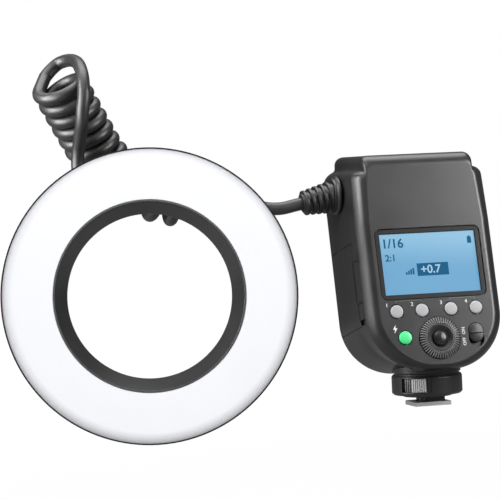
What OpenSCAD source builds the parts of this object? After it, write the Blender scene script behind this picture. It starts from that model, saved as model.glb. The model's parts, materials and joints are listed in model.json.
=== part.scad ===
// Macro ring flash: a shoe-mounted control unit, a curly cord and a ring head.
// Millimetres, +Z up. The origin is the centre of the shoe foot's underside.
// The unit's screen looks to -Y, the cord leaves to -X.

/* [Control unit] */
// Width of the body across its widest part
body_w = 75; // [73:0.5:80]
// Width of the front panel at its bevelled edge
face_w = 66; // [64:0.5:68]
// Width of the narrow crown above the shoulders
crown_w = 61; // [59:0.5:63]
// Height of the crown above the foot's underside
crown_z = 125.5; // [124:0.5:130]
// Height of the shoulders where the wide body stops
shoulder_z = 117; // [115:0.5:119]
// Depth from the front face to the back wall
body_d = 44.5; // [44:0.5:50]
// Backward lean of the front face in degrees
lean = 14; // [13:0.5:15]
// Wall of the two shells
wall = 2; // [1.8:0.1:2.2]
// Depth of the rounded bevel round the front face
bevel_d = 6; // [5.8:0.1:6.2]
// Width of the flat front lost to the bevel at the crown
bevel_w = 7; // [5:0.5:8]

/* [Front panel] */
// Width of the screen's glass pane
pane_w = 54; // [52:0.5:56]
// Height of the screen's glass pane
pane_h = 35.2; // [33:0.1:36]
// Height of the pane's centre up the face
pane_s = 53.1; // [53:0.1:55]
// Thickness of the glass pane
pane_t = 1.2; // [1:0.1:1.3]
// Dark border of the pane round the lit screen
pane_border = 2.1; // [1.5:0.1:3]
// Diameter of the small round buttons
button_d = 6.6; // [5.6:0.1:7]
// Travel of every button
button_travel = 0.5; // [0.3:0.05:0.55]
// Height of the button row up the face
button_s = 29.2; // [28.8:0.1:30]
// Distance of the inner buttons from the middle
button_in_x = 7.5; // [6.5:0.1:8.5]
// Distance of the outer buttons from the middle
button_out_x = 20.5; // [18.5:0.1:22]
// Sideways place of the test button
test_x = -17.7; // [-18.5:0.1:-16.5]
// Height of the test button up the face
test_s = 16; // [15:0.1:18]
// Diameter of the turning dial
dial_d = 21; // [19:0.5:21.5]
// Height of the dial's centre up the face
dial_s = 14.9; // [14.5:0.1:15.5]
// Ribs round the dial
dial_ribs = 44; // [30:2:50]
// Diameter of the button in the dial's centre
set_d = 7.6; // [7:0.1:8]
// Sideways place of the power switch
switch_x = 18.9; // [18:0.1:19.5]
// Height of the power switch up the face
switch_s = 15.6; // [15:0.1:17]
// Width of the power switch's slot
switch_w = 8; // [7:0.1:8.4]
// Height of the power switch's slot
switch_h = 12.2; // [11:0.1:12.6]
// Travel of the power switch
switch_travel = 2.2; // [1.5:0.1:2.6]

/* [Battery] */
// Diameter of a round battery cell
cell_d = 18.2; // [17:0.1:18.6]
// Length of a round battery cell
cell_l = 62; // [58:0.5:62.5]
// Height of the battery pack up the slab
pack_h = 41; // [40:0.5:42]
// Room between the battery pack and the back
pack_back = 6.5; // [6.3:0.1:7]
// Height of the pack's lower edge up the slab
pack_s = 25.5; // [25:0.1:27]
// Wall of the battery bay
bay_wall = 1.2; // [1:0.1:1.4]
// Height of the battery latch
latch_h = 8; // [6:0.5:8.5]
// Travel of the battery latch
latch_travel = 2.5; // [1.5:0.1:2.7]

/* [Shoe foot] */
// Width of the metal foot plate
foot_w = 18.6; // [18.3:0.05:18.65]
// Length of the metal foot plate
foot_l = 18.1; // [17.5:0.1:18.5]
// Thickness of the metal foot plate
foot_t = 2; // [1.9:0.05:2.05]
// Width of the stem between foot plate and collar
stem_w = 12.5; // [12.3:0.1:12.6]
// Height of the stem above the foot plate
stem_h = 2.5; // [2.2:0.1:3]
// Diameter of the lock collar
collar_d = 35.3; // [35:0.1:36.5]
// Height of the lock collar
collar_h = 10; // [9.5:0.1:11]
// Diameter of the neck between collar and body
neck_d = 34; // [33:0.1:34.4]
// Turn of the lock lever in degrees
lever_turn = 20; // [10:1:24]
// Drop of the lock pin
pin_drop = 1.8; // [1.5:0.1:1.9]

/* [Ring head] */
// Outer diameter of the ring head
head_d = 141.8; // [140:0.2:144]
// Depth of the ring head
head_h = 24; // [23.6:0.2:26]
// Diameter of the clear hole that the lens looks through
bore_d = 78.8; // [77:0.2:80]
// Diameter where the white diffuser starts
lip_d = 91.4; // [90.6:0.2:93]
// Height of the black housing behind the diffuser
rim_h = 16; // [15.4:0.2:17]
// Wall of the housing
head_wall = 2.2; // [2:0.1:2.4]
// Thickness of the diffuser
diffuser_t = 2; // [1.6:0.1:2.2]
// Rounding of the diffuser's outer edge
diffuser_round = 5.5; // [4:0.5:6]
// Diameter of a flash tube
tube_d = 3.4; // [3:0.1:3.6]
// Small lamps for focusing
lamp_count = 8; // [4:1:8]
// Travel of the two lens latches
claw_travel = 2; // [1.8:0.1:2.4]
// Reach of a lens latch into the recess at the back
claw_reach = 1.4; // [1:0.1:1.5]

/* [Cord] */
// Diameter of the cord
cord_d = 6.4; // [5.6:0.1:6.4]
// Outer diameter of the curls
curl_d = 28; // [26:0.5:28]
// Turns in the bent part of the curly cord
bend_turns = 7.5; // [6:0.5:7.5]
// Turns in the straight part of the curly cord
top_turns = 5.5; // [4:0.5:5.5]
// Radius of the bend in the curly cord's axis
curl_bend_r = 51; // [49:0.5:51]
// Length of the gland on the control unit
gland_l = 19; // [17:0.5:22]
// Droop of that gland in degrees
gland_droop = 10; // [5:1:12]

/* [Clearances] */
// Running clearance of turning and sliding pieces
run = 0.1; // [0.05:0.01:0.15]
// Gap round buttons, doors and loose fits
gap = 0.25; // [0.2:0.01:0.3]

/* [Hidden] */
$fn = 64;

skin = 0.02;
black = [0.07, 0.07, 0.075];
charcoal = [0.13, 0.13, 0.135];
grey = [0.66, 0.66, 0.67];
metal = [0.78, 0.79, 0.8];
board_green = [0.08, 0.3, 0.16];

// The unit is a slab that leans back. Slab coordinates are x, depth t behind the
// front face and height s up the face, from the face's lowest edge.
slab_y = -26.9;
slab_z = 20;
body_hw = body_w / 2;
face_hw = face_w / 2;
crown_hw = crown_w / 2;

module slab() {
    translate([0, slab_y, slab_z]) rotate([-lean, 0, 0]) children();
}

function slab_point(x, t, s) = [
    x,
    slab_y + t * cos(lean) + s * sin(lean),
    slab_z - t * sin(lean) + s * cos(lean)
];

// Height up the slab at which a level plane at height z cuts depth t
function level_s(z, t) = (z - slab_z + t * sin(lean)) / cos(lean);

// Box between two corners in slab coordinates
module slab_box(x, t, s) {
    translate([x[0], t[0], s[0]]) cube([x[1] - x[0], t[1] - t[0], s[1] - s[0]]);
}

// Plate with a flat outline drawn in x and s, from depth t0 to t1
module slab_plate(t0, t1) {
    translate([0, t1, 0]) rotate([90, 0, 0]) linear_extrude(t1 - t0) children();
}

// Frame on the front face with z pointing out of it
module on_face(x, s) {
    slab() translate([x, 0, s]) rotate([90, 0, 0]) children();
}

module round_rect(w, h, r) {
    square([w - 2 * r, h], center = true);
    square([w, h - 2 * r], center = true);
    for (x = [-1, 1], y = [-1, 1]) translate([x * (w / 2 - r), y * (h / 2 - r)]) circle(r);
}

module capsule(w, h) {
    square([w, h - w], center = true);
    for (y = [-1, 1]) translate([0, y * (h - w) / 2]) circle(d = w);
}

// Corner rounds of an outline: [x, s, radius] on the right half
face_low_r = 29;
face_mid_s = 80;
face_mid_r = 4;
crown_r = 10;
edge_corners = [
    [face_hw - face_low_r, face_low_r, face_low_r],
    [face_hw - face_mid_r, face_mid_s, face_mid_r],
    [crown_hw - crown_r, level_s(crown_z, bevel_d) - crown_r, crown_r]
];
flat_low_inset = 2;
flat_mid_inset = bevel_w - 1;
flat_crown_r = 7;
flat_corners = [
    [face_hw - face_low_r, face_low_r, face_low_r - flat_low_inset],
    [face_hw - face_mid_r - flat_mid_inset, face_mid_s, face_mid_r],
    [crown_hw - crown_r - flat_mid_inset + 3, level_s(crown_z, 0) - bevel_w - flat_crown_r, flat_crown_r]
];

// One slice of a shell: the corner rounds as thin discs, drawn in by an inset
module slice(t, corners, inset = 0) {
    for (c = corners, side = [-1, 1])
        translate([side * c[0], t, c[1]]) rotate([-90, 0, 0])
            cylinder(r = max(c[2] - inset, 0.3), h = skin, $fn = 32);
}

function between(a, b, f) = a + (b - a) * f;
bevel_steps = [0, 22.5, 45, 67.5, 90];

// Bevelled front: slices along a quarter round from the flat face to its edge
module front_form(t0, inset) {
    hull() for (a = bevel_steps)
        slice(t0 + (bevel_d - t0) * (1 - cos(a)),
            between(edge_corners, flat_corners, 1 - sin(a)), inset);
}

back_round = 6;
flank_t = 14;
shoulder_r = 7;
function wide_corners(t, low_s, low_r) = [
    [body_hw - low_r, low_s + low_r, low_r],
    [body_hw - shoulder_r, level_s(shoulder_z, t) - shoulder_r, shoulder_r]
];
flank_low = [3.5, 28];
back_low = [5, 26];
flank_corners = wide_corners(flank_t, flank_low[0], flank_low[1]);
back_corners = wide_corners(body_d - back_round, back_low[0], back_low[1]);
front_shoulder_r = 8;
front_wide_corners = [
    edge_corners[0], edge_corners[1],
    [crown_hw - front_shoulder_r - 1, face_mid_s + 12, front_shoulder_r]
];
round_steps = [0, 30, 60, 90];

// Wide lower body behind the front panel
module wide_form(inset, t1) {
    hull() {
        slice(bevel_d, front_wide_corners, inset);
        slice(flank_t, flank_corners, inset);
        for (a = round_steps)
            slice(t1 - back_round + back_round * sin(a) - skin, back_corners,
                inset + (back_round - 0.5) * (1 - cos(a)));
    }
}

// Narrow block that carries the crown over the whole depth
crown_back_r = 9;
function crown_corners(t) = [
    [crown_hw - crown_r, face_mid_s, crown_r],
    [crown_hw - crown_r, level_s(crown_z, t) - crown_r, crown_r]
];
module crown_form(inset, t1) {
    hull() {
        slice(bevel_d, edge_corners, inset);
        for (a = round_steps)
            slice(t1 - crown_back_r + crown_back_r * sin(a) - skin,
                crown_corners(body_d - crown_back_r),
                inset + (crown_back_r - 1) * (1 - cos(a)));
    }
}

// Layers behind the front face, as depths
pane_recess = 0.4;
pane_r = 3;
lcd_t = [wall, wall + 1.5];
board_t = [wall + 4.3, wall + 5.5];
lcd_w = pane_w - 2 * pane_border;
lcd_h = pane_h - 2 * pane_border;
small_buttons = [
    [-button_out_x, button_s], [-button_in_x, button_s],
    [button_in_x, button_s], [button_out_x, button_s], [test_x, test_s]
];
button_r = button_d / 2;
dial_r = dial_d / 2;
set_r = set_d / 2;
hub_r = set_r + 1.6;
dial_well = 0.8;
button_flange = 1;
cap_out = 0.9;
stem_end = wall + 1.5;
plunger_t = stem_end + button_travel + run;

// Posts that carry the control board
post_w = 3;
board_top_s = 77;
board_posts = [[-23, board_top_s - 2], [23, board_top_s - 2], [-12, 22.5], [12, 22.5]];

module face_cover() {
    color(charcoal) difference() {
        slab() difference() {
            front_form(0, 0);
            hull() for (a = bevel_steps)
                slice(wall + (bevel_d + skin - wall) * (1 - cos(a)),
                    between(edge_corners, flat_corners, 1 - sin(a)), wall);
            translate([-body_hw, bevel_d, -1]) cube([body_w, 1, 2 * face_mid_s]);
            translate([0, 0, pane_s]) slab_plate(-1, pane_recess + pane_t)
                round_rect(pane_w + run, pane_h + run, pane_r);
            translate([0, 0, pane_s]) slab_plate(0, wall + 1) square([lcd_w, lcd_h], center = true);
        }
        for (b = small_buttons) on_face(b[0], b[1]) translate([0, 0, -wall - 1])
            cylinder(r = button_r + gap, h = wall + 2);
        on_face(0, dial_s) translate([0, 0, -dial_well]) cylinder(r = dial_r + gap, h = 2);
        on_face(0, dial_s) translate([0, 0, -wall - 1]) cylinder(r = hub_r + run, h = wall + 2);
        on_face(switch_x, switch_s) translate([0, 0, -wall - 1])
            linear_extrude(wall + 2) capsule(switch_w, switch_h);
    }
    color(charcoal) slab() for (p = board_posts)
        slab_box([p[0] - post_w / 2, p[0] + post_w / 2], [wall - skin, board_t[0]],
            [p[1] - post_w / 2, p[1] + post_w / 2]);
}

// Battery bay and door, in slab coordinates
door_t = 3;
pack_t = [bevel_d + 6.5, body_d - pack_back];
pack_wall = 2.5;
pack_x = [-body_hw + door_t, -body_hw + door_t + cell_l + pack_wall];
pack_top = pack_s + pack_h;
bay_inset = 7;
bay_front_x = -body_hw + bay_inset;
tongue_s = [37, 57.5];
tongue_t = bevel_d + 0.6;
latch_s = 28;
latch_t = [bevel_d + 1, pack_t[0] - 1];
inner_depth = bay_inset - 0.5;
door_rim = 0.5;

// Outline of the battery door as seen from the side, grown by g
module door_outline(g) {
    slab_box([-body_hw - 1, -body_hw + door_t + g],
        [pack_t[0] - g - door_rim, pack_t[1] + g + door_rim],
        [pack_s - g - door_rim, pack_top + g + door_rim]);
    slab_box([-body_hw - 1, -body_hw + inner_depth + g], [tongue_t - g, pack_t[0] + 1],
        [tongue_s[0] - g, tongue_s[1] + g]);
}

screw_places = [[-19, 18], [19, 18], [-22, 99], [22, 99]];
screw_sink = 1.5;
screw_low = 0.2;
hex_r = 1.1;
screw_head_r = 2.4;
screw_r = 1.2;
screw_l = 9;
boss_r = 3.4;
assist_w = 22;
assist_h = 13;
assist_s = 72;
assist_t = 1.5;
assist_r = 2;

gland_t = 22;
gland_s = 94.5;
gland_hole_r = 5;

module neck_hole(r) {
    cylinder(r = r, h = 2 * collar_d);
}

module rear_shell() {
    color(charcoal) difference() {
        union() {
            slab() difference() {
                union() {
                    crown_form(0, body_d);
                    wide_form(0, body_d);
                }
                crown_form(wall, body_d - wall);
                wide_form(wall, body_d - wall);
                translate([-body_hw, bevel_d - 1 + skin, -1]) cube([body_w, 1, 2 * face_mid_s]);
                door_outline(gap);
                slab_box([-body_hw - 1, bay_front_x], [pack_t[0] - gap, pack_t[1] + gap],
                    [pack_s - gap, pack_top + gap]);
                slab_box([-body_hw - 1, -body_hw + inner_depth + gap],
                    [latch_t[0] - gap, latch_t[1] + gap],
                    [latch_s - latch_travel - gap, latch_s + latch_h + gap]);
                translate([-body_hw - 1, gland_t, gland_s]) rotate([0, 90, 0])
                    cylinder(r = gland_hole_r + run, h = wall + 4);
                translate([0, 0, assist_s]) slab_plate(body_d - assist_t - run, body_d + 1)
                    round_rect(assist_w + run, assist_h + run, assist_r);
                translate([0, 0, assist_s]) slab_plate(body_d - wall - 1, body_d)
                    square([assist_w - 3, assist_h - 3], center = true);
            }
            slab() for (p = screw_places) translate([p[0], body_d - wall - screw_l, p[1]])
                rotate([-90, 0, 0]) cylinder(r = boss_r, h = screw_l + skin);
        }
        neck_hole(neck_d / 2 + run);
        slab() for (p = screw_places) translate([p[0], body_d, p[1]]) rotate([90, 0, 0]) {
            translate([0, 0, -1]) cylinder(r = screw_head_r + run, h = 1 + screw_sink);
            cylinder(r = screw_r + run, h = screw_l);
        }
    }
}

module screen_pane() {
    color([0.05, 0.06, 0.07, 0.6]) slab() translate([0, 0, pane_s])
        slab_plate(pane_recess, pane_recess + pane_t) round_rect(pane_w, pane_h, pane_r - run);
}

lcd_margin = 0.9;
module lcd_panel() {
    color([0.45, 0.66, 0.84]) slab() translate([0, 0, pane_s])
        slab_plate(lcd_t[0], lcd_t[1])
            square([lcd_w + 2 * lcd_margin, lcd_h + 2 * lcd_margin], center = true);
}

// Backlight tray between the screen and the board
module lcd_frame() {
    color(black) slab() translate([0, 0, pane_s]) difference() {
        slab_plate(lcd_t[1], board_t[0])
            square([lcd_w + 4 * lcd_margin, lcd_h + 4 * lcd_margin], center = true);
        slab_plate(lcd_t[1] - 1, board_t[0] - 1) square([lcd_w, lcd_h], center = true);
    }
}

board_hw = 27;
module control_board() {
    color(board_green) slab() slab_plate(board_t[0], board_t[1])
        polygon([
            [-17, 9], [17, 9], [23, 12.5], [25.5, 18], [board_hw, 24], [board_hw, board_top_s],
            [-board_hw, board_top_s], [-board_hw, 24], [-25.5, 18], [-23, 12.5]
        ]);
}

tact_w = 4;
plunger_h = 0.6;
module tact_switch(x, s) {
    slab() slab_box([x - tact_w / 2, x + tact_w / 2], [plunger_t + plunger_h, board_t[0]],
        [s - tact_w / 2, s + tact_w / 2]);
    on_face(x, s) translate([0, 0, -plunger_t - plunger_h - skin])
        cylinder(r = tact_w / 4, h = plunger_h + skin);
}
module tact_switches() {
    color(black) {
        for (b = small_buttons) tact_switch(b[0], b[1]);
        tact_switch(0, dial_s);
    }
}

encoder_r = 7.5;
encoder_h = 2;
module dial_encoder() {
    color([0.2, 0.2, 0.22]) on_face(0, dial_s) translate([0, 0, -board_t[0]]) difference() {
        cylinder(r = encoder_r, h = encoder_h);
        translate([0, 0, -1]) cylinder(r = tact_w * 0.8, h = encoder_h + 2);
    }
}

switch_body_h = 2;
module switch_body() {
    color([0.2, 0.2, 0.22]) slab() slab_box([switch_x - 3.5, switch_x + 3.5],
        [board_t[0] - switch_body_h, board_t[0]], [switch_s - 3, switch_s + 4]);
}

// Revolved push button; z = 0 is the front face
module push_button(x, s, dome) {
    on_face(x, s) rotate_extrude() polygon([
        [0, cap_out + dome], [button_r * 0.55, cap_out + dome * 0.75], [button_r - 0.5, cap_out],
        [button_r, cap_out - 0.5], [button_r, -wall - gap], [button_r + button_flange, -wall - gap],
        [button_r + button_flange, -wall - gap - 0.7], [1.2, -wall - gap - 0.7],
        [1.2, -stem_end], [0, -stem_end]
    ]);
}
module mode_button() {
    color(grey) push_button(-button_out_x, button_s, 0.15);
}
module lamp_button() {
    color(grey) push_button(-button_in_x, button_s, 0.15);
}
module menu_button() {
    color(grey) push_button(button_in_x, button_s, 0.15);
}
module ratio_button() {
    color(grey) push_button(button_out_x, button_s, 0.15);
}
module test_button() {
    color([0.3, 0.86, 0.52]) push_button(test_x, test_s, 0.3);
}

// Dial: ribbed rim that slopes in to a flat ring, on a hollow hub
dial_top = 2.2;
ring_z = 1.2;
cap_seat = 1.2;
stem_r = 2.4;
hub_end = wall + 1.8;
rib_inner_r = set_r + 2.7;
rib_cut = 0.7;
module control_dial() {
    color(charcoal) on_face(0, dial_s) difference() {
        rotate_extrude() polygon([
            [set_r + 0.2, ring_z], [rib_inner_r, ring_z], [rib_inner_r + 0.5, ring_z + 0.5],
            [dial_r - 1.1, dial_top], [dial_r, dial_top - 0.9], [dial_r, -dial_well + run],
            [hub_r, -dial_well + run], [hub_r, -hub_end], [stem_r + 0.2, -hub_end],
            [stem_r + 0.2, -cap_seat], [set_r + 0.2, -cap_seat]
        ]);
        for (i = [0:dial_ribs - 1]) rotate(i * 360 / dial_ribs)
            translate([rib_inner_r + 0.3, -rib_cut / 2, ring_z + 0.3]) cube([dial_r, rib_cut, dial_top]);
    }
}

module set_button() {
    color(charcoal) on_face(0, dial_s) rotate_extrude() polygon([
        [0, ring_z + 0.9], [set_r * 0.6, ring_z + 0.7],
        [set_r - 0.3, ring_z + 0.2], [set_r, ring_z - 0.2],
        [set_r, -cap_seat + button_travel + run], [stem_r, -cap_seat + button_travel + run],
        [stem_r, -stem_end], [0, -stem_end]
    ]);
}

knob_h = switch_h - switch_travel - 2 * run;
knob_w = switch_w - 2 * run;
knob_s = switch_s + (switch_h - knob_h) / 2 - run;
module power_switch() {
    color(black) on_face(switch_x, knob_s) {
        translate([0, 0, -wall - 0.2]) linear_extrude(wall + 0.2 + 0.5) capsule(knob_w, knob_h);
        translate([-knob_w / 2 + 0.6, -0.5, 0]) cube([knob_w - 1.2, 1, 1]);
        translate([-knob_w / 2 - 0.6, -1, -wall - 0.9])
            cube([knob_w + 1.2, knob_h / 2 + 1.6, 0.7]);
        translate([-1, -1, -hub_end]) cube([2, 2, hub_end - wall]);
    }
}

// Battery bay: a sleeve open to the left side, closed at its right end
bay_clear = 0.35;
bay_end_x = pack_x[1] + 1.2;
module battery_bay() {
    color(black) slab() difference() {
        slab_box([bay_front_x, bay_end_x + bay_wall],
            [pack_t[0] - bay_clear - bay_wall, pack_t[1] + bay_clear + bay_wall],
            [pack_s - bay_clear - bay_wall, pack_top + bay_clear + bay_wall]);
        slab_box([bay_front_x - 1, bay_end_x], [pack_t[0] - bay_clear, pack_t[1] + bay_clear],
            [pack_s - bay_clear, pack_top + bay_clear]);
    }
}

cell_s = [pack_s + pack_h / 2 - cell_d / 2 - 0.6, pack_s + pack_h / 2 + cell_d / 2 + 0.6];
cell_t = (pack_t[0] + pack_t[1]) / 2;
spring_leaf_w = 6;
spring_leaf_h = 8;
module battery_contacts() {
    color(metal) slab() for (s = cell_s)
        slab_box([pack_x[1] + gap, bay_end_x], [cell_t - spring_leaf_w / 2, cell_t + spring_leaf_w / 2],
            [s - spring_leaf_h / 2, s + spring_leaf_h / 2]);
}

module battery_case() {
    color(charcoal) slab() {
        difference() {
            slab_box(pack_x, pack_t, [pack_s, pack_top]);
            for (s = cell_s) translate([pack_x[1] - cell_l - run, cell_t, s]) rotate([0, 90, 0])
                cylinder(d = cell_d + 2 * run, h = cell_l + 2);
        }
        intersection() {
            wide_form(0, body_d);
            door_outline(0);
        }
    }
}

module battery_cells() {
    color([0.25, 0.45, 0.62]) slab() for (s = cell_s) translate([pack_x[1] - cell_l, cell_t, s])
        rotate([0, 90, 0]) cylinder(d = cell_d, h = cell_l);
}

module battery_latch() {
    color(black) slab() intersection() {
        wide_form(0, body_d);
        slab_box([-body_hw - 1, -body_hw + inner_depth], latch_t, [latch_s, latch_s + latch_h]);
    }
}

// Power electronics above the bay
power_s = pack_top + bay_clear + bay_wall;
power_hw = body_hw - 8.5;
power_t = 1.4;
power_top = power_s + power_t;
module power_board() {
    color(board_green) slab() slab_box([-power_hw, power_hw], pack_t, [power_s, power_top]);
}
capacitor_r = 9;
capacitor_x = [-12, 26];
module flash_capacitor() {
    color([0.1, 0.14, 0.3]) slab()
        translate([capacitor_x[0], pack_t[0] + 2 + capacitor_r, power_top + capacitor_r])
            rotate([0, 90, 0]) cylinder(r = capacitor_r, h = capacitor_x[1] - capacitor_x[0]);
}
coil_x = capacitor_x[0] - 9;
coil_t = pack_t[0] + 10;
module coil_block(half, s) {
    slab_box([coil_x - half, coil_x + half], [coil_t - half, coil_t + half], s);
}
coil_foot = 2;
coil_h = 7.6;
module charge_transformer() {
    color([0.75, 0.6, 0.2]) slab() {
        coil_block(6, [power_top, power_top + coil_foot]);
        coil_block(4, [power_top + coil_foot - skin, power_top + coil_h]);
    }
}

module assist_window() {
    color([0.35, 0.02, 0.03]) slab() translate([0, 0, assist_s])
        slab_plate(body_d - assist_t - run, body_d - run) round_rect(assist_w, assist_h, assist_r - run);
}

module case_screws() {
    color([0.2, 0.2, 0.2]) slab() for (p = screw_places) translate([p[0], body_d, p[1]])
        rotate([90, 0, 0]) screw(screw_l - screw_sink - 0.5);
}

// Sunk screw with a hexagon socket, its head towards -z
module screw(shank_l) {
    difference() {
        translate([0, 0, screw_low]) cylinder(r = screw_head_r, h = screw_sink - screw_low);
        translate([0, 0, screw_low - 1]) cylinder(r = hex_r, h = 1.8, $fn = 6);
    }
    translate([0, 0, screw_sink - skin]) cylinder(r = screw_r, h = shank_l);
}

// Foot, collar and neck, upright about the origin
block_top = foot_t + stem_h;
disc_h = 1;
collar_z = block_top + disc_h;
collar_r = collar_d / 2;
collar_top = collar_z + collar_h;
cup_wall = 1.3;
floor_h = 1.6;
cup_floor = collar_z + floor_h;
hub_post_r = 4.9;
lever_r = collar_r - cup_wall - 0.4;
tab_angle = -31;
tab_span = 23;
tab_z = [cup_floor + 0.5, collar_top - 1.4];
shutter_span = 70;
shutter_z = [cup_floor + 0.3, collar_top - 0.4];
shutter_t = 1.2;
lever_z = [cup_floor + 2.3, cup_floor + 5];
pin_y = 7.2;
pin_r = 1;
pin_head_r = 1.9;
pin_head_z = lever_z[0] - 1.2;
pin_low = pin_head_z - pin_drop - 0.3;
neck_h = 9.5;
neck_step = 0.8;
neck_step_h = 1;
neck_floor = 2;
neck_wall = 3;
wire_hole_r = 3;
neck_top = collar_top + neck_h;
contacts = [[0, 0, 1.2], [-3.8, 3.7, 0.8], [3.8, 3.7, 0.8], [-3.8, -3.7, 0.8], [3.8, -3.7, 0.8]];
contact_h = 3.2;
slot_w = 10.8;
slot_l = 12.8;

// Sector between two radii, its middle at an angle from -Y towards +X
module sector(r0, r1, angle, span, h) {
    rotate([0, 0, angle - 90 - span / 2]) rotate_extrude(angle = span)
        translate([r0, 0]) square([r1 - r0, h]);
}

module neck_ring() {
    color(black) difference() {
        union() {
            translate([0, 0, collar_top]) cylinder(r = neck_d / 2 - neck_step, h = neck_step_h);
            translate([0, 0, collar_top + neck_step_h - skin])
                cylinder(r = neck_d / 2, h = neck_h - neck_step_h);
        }
        translate([0, 0, collar_top + neck_floor]) cylinder(r = neck_d / 2 - neck_wall, h = neck_h);
        translate([0, 0, collar_top - 1]) cylinder(r = wire_hole_r, h = neck_h);
    }
}

module foot_collar() {
    color(charcoal) difference() {
        union() {
            translate([0, 0, block_top]) cylinder(r = collar_r * 0.7, h = disc_h + skin);
            rotate_extrude() polygon([
                [0, collar_z], [collar_r - 1, collar_z], [collar_r, collar_z + 1],
                [collar_r, collar_top - 1], [collar_r - 0.6, collar_top], [0, collar_top]
            ]);
        }
        difference() {
            translate([0, 0, cup_floor]) cylinder(r = collar_r - cup_wall, h = collar_h);
            cylinder(r = hub_post_r, h = lever_z[1] + 0.4);
        }
        translate([0, 0, tab_z[0] - 0.2])
            sector(collar_r - cup_wall - 1, collar_r + 2, tab_angle - lever_turn / 2,
                tab_span + lever_turn + 2, tab_z[1] - tab_z[0] + 0.4);
        translate([0, pin_y, 0]) cylinder(r = pin_r + run, h = collar_top);
        translate([0, pin_y, pin_low]) cylinder(r = pin_head_r + gap, h = pin_head_z - pin_low);
    }
}

module foot_block() {
    color(black) difference() {
        union() {
            translate([-stem_w / 2 + 3, -foot_l / 2 + 0.6, foot_t])
                cube([stem_w - 3, foot_l - 1.2, stem_h]);
            translate([-stem_w / 2, -foot_l / 2 + 0.6, foot_t]) cube([1.3, 3, stem_h]);
            translate([-slot_w / 2, -slot_l / 2, 0.2]) cube([slot_w, slot_l, foot_t - 0.2 + skin]);
        }
        for (c = contacts) translate([c[0], c[1], -1]) cylinder(r = c[2] + run, h = 1 + contact_h);
        translate([0, pin_y, -1]) cylinder(r = pin_r + run, h = 2 * block_top);
    }
}

module foot_plate() {
    color(metal) difference() {
        translate([-foot_w / 2, -foot_l / 2, 0]) cube([foot_w, foot_l, foot_t]);
        translate([-slot_w / 2 - run, -slot_l / 2 - run, -1])
            cube([slot_w + 2 * run, slot_l + 2 * run, foot_t + 2]);
        translate([0, pin_y, -1]) cylinder(r = pin_r + run, h = foot_t + 2);
        for (x = [-1, 1]) translate([x * foot_w / 2, foot_l / 2, -1]) rotate(45)
            cube([2.2, 2.2, 3 * foot_t], center = true);
    }
}

module contact_pins() {
    color([0.85, 0.75, 0.45]) for (c = contacts) translate([c[0], c[1], 0])
        cylinder(r = c[2], h = contact_h - 0.2);
}

// Lever disc with a shutter behind the collar's window and a finger tab
module lock_lever() {
    color(grey) {
        difference() {
            translate([0, 0, lever_z[0]])
                cylinder(r = lever_r - shutter_t / 2, h = lever_z[1] - lever_z[0]);
            translate([0, 0, lever_z[0] - 1]) cylinder(r = hub_post_r + run, h = lever_z[1]);
        }
        translate([0, 0, shutter_z[0]])
            sector(lever_r - shutter_t, lever_r, tab_angle, shutter_span, shutter_z[1] - shutter_z[0]);
        difference() {
            translate([0, 0, tab_z[0]])
                sector(lever_r - 0.8, collar_r + 0.8, tab_angle, tab_span, tab_z[1] - tab_z[0]);
            for (i = [-2:2]) rotate([0, 0, tab_angle + i * tab_span / 6 - 90])
                translate([collar_r + 0.35, -0.35, 0]) cube([2, 0.7, collar_top]);
        }
    }
}

module lock_pin() {
    color(metal) translate([0, pin_y, 0]) {
        translate([0, 0, 0.3]) cylinder(r = pin_r, h = pin_head_z);
        translate([0, 0, pin_head_z]) cylinder(r = pin_head_r, h = 1);
    }
}

// Ring head. Head coordinates: origin at the hole's centre on the back plate,
// z forward to the diffuser, y up.
head_pos = [-141.5, -9, 62.5];
head_yaw = -12.2;
head_tilt = 2.6;
module head() {
    translate(head_pos) rotate([90 - head_tilt, 0, head_yaw]) children();
}
function head_point(x, y, z) = head_pos
    + x * [cos(head_yaw), sin(head_yaw), 0]
    + y * [-sin(head_yaw) * sin(head_tilt), cos(head_yaw) * sin(head_tilt), cos(head_tilt)]
    + z * [sin(head_yaw) * cos(head_tilt), -cos(head_yaw) * cos(head_tilt), sin(head_tilt)];

head_r = head_d / 2;
bore_r = bore_d / 2;
lip_r = lip_d / 2;
plate_h = 2;
head_round = 5;
lip_wall = 0.8;
ledge_z = rim_h - 2;
barrel_wall = 1.6;
bore_l = 9.2;
recess_r = bore_r + 2;
recess_l = 6.6;
barrel_r = recess_r + barrel_wall;
plate_hole_r = barrel_r + run;
flange_r = barrel_r + 3;
flange_h = 1.2;
post_ring_r = head_r - 9;
post_angles = [30, 150, 210, 330];
post_r = 3;

// Lens latches: their plates run from the hole's recess to a spring at the rim
claw_z = [plate_h + flange_h + 0.3, plate_h + flange_h + 1.9];
claw_w = 12;
spring_room = 5.7;
claw_end_x = head_r - head_wall - spring_room;
claw_run = claw_end_x - flange_r;
thumb_x = [flange_r + 0.41 * claw_run, flange_r + 0.82 * claw_run];
thumb_w = 10;
thumb_out = 2.4;
thumb_groove = 0.7;
rail_w = 1.5;
rail_x = [flange_r + 0.4, claw_end_x - 1];

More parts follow.
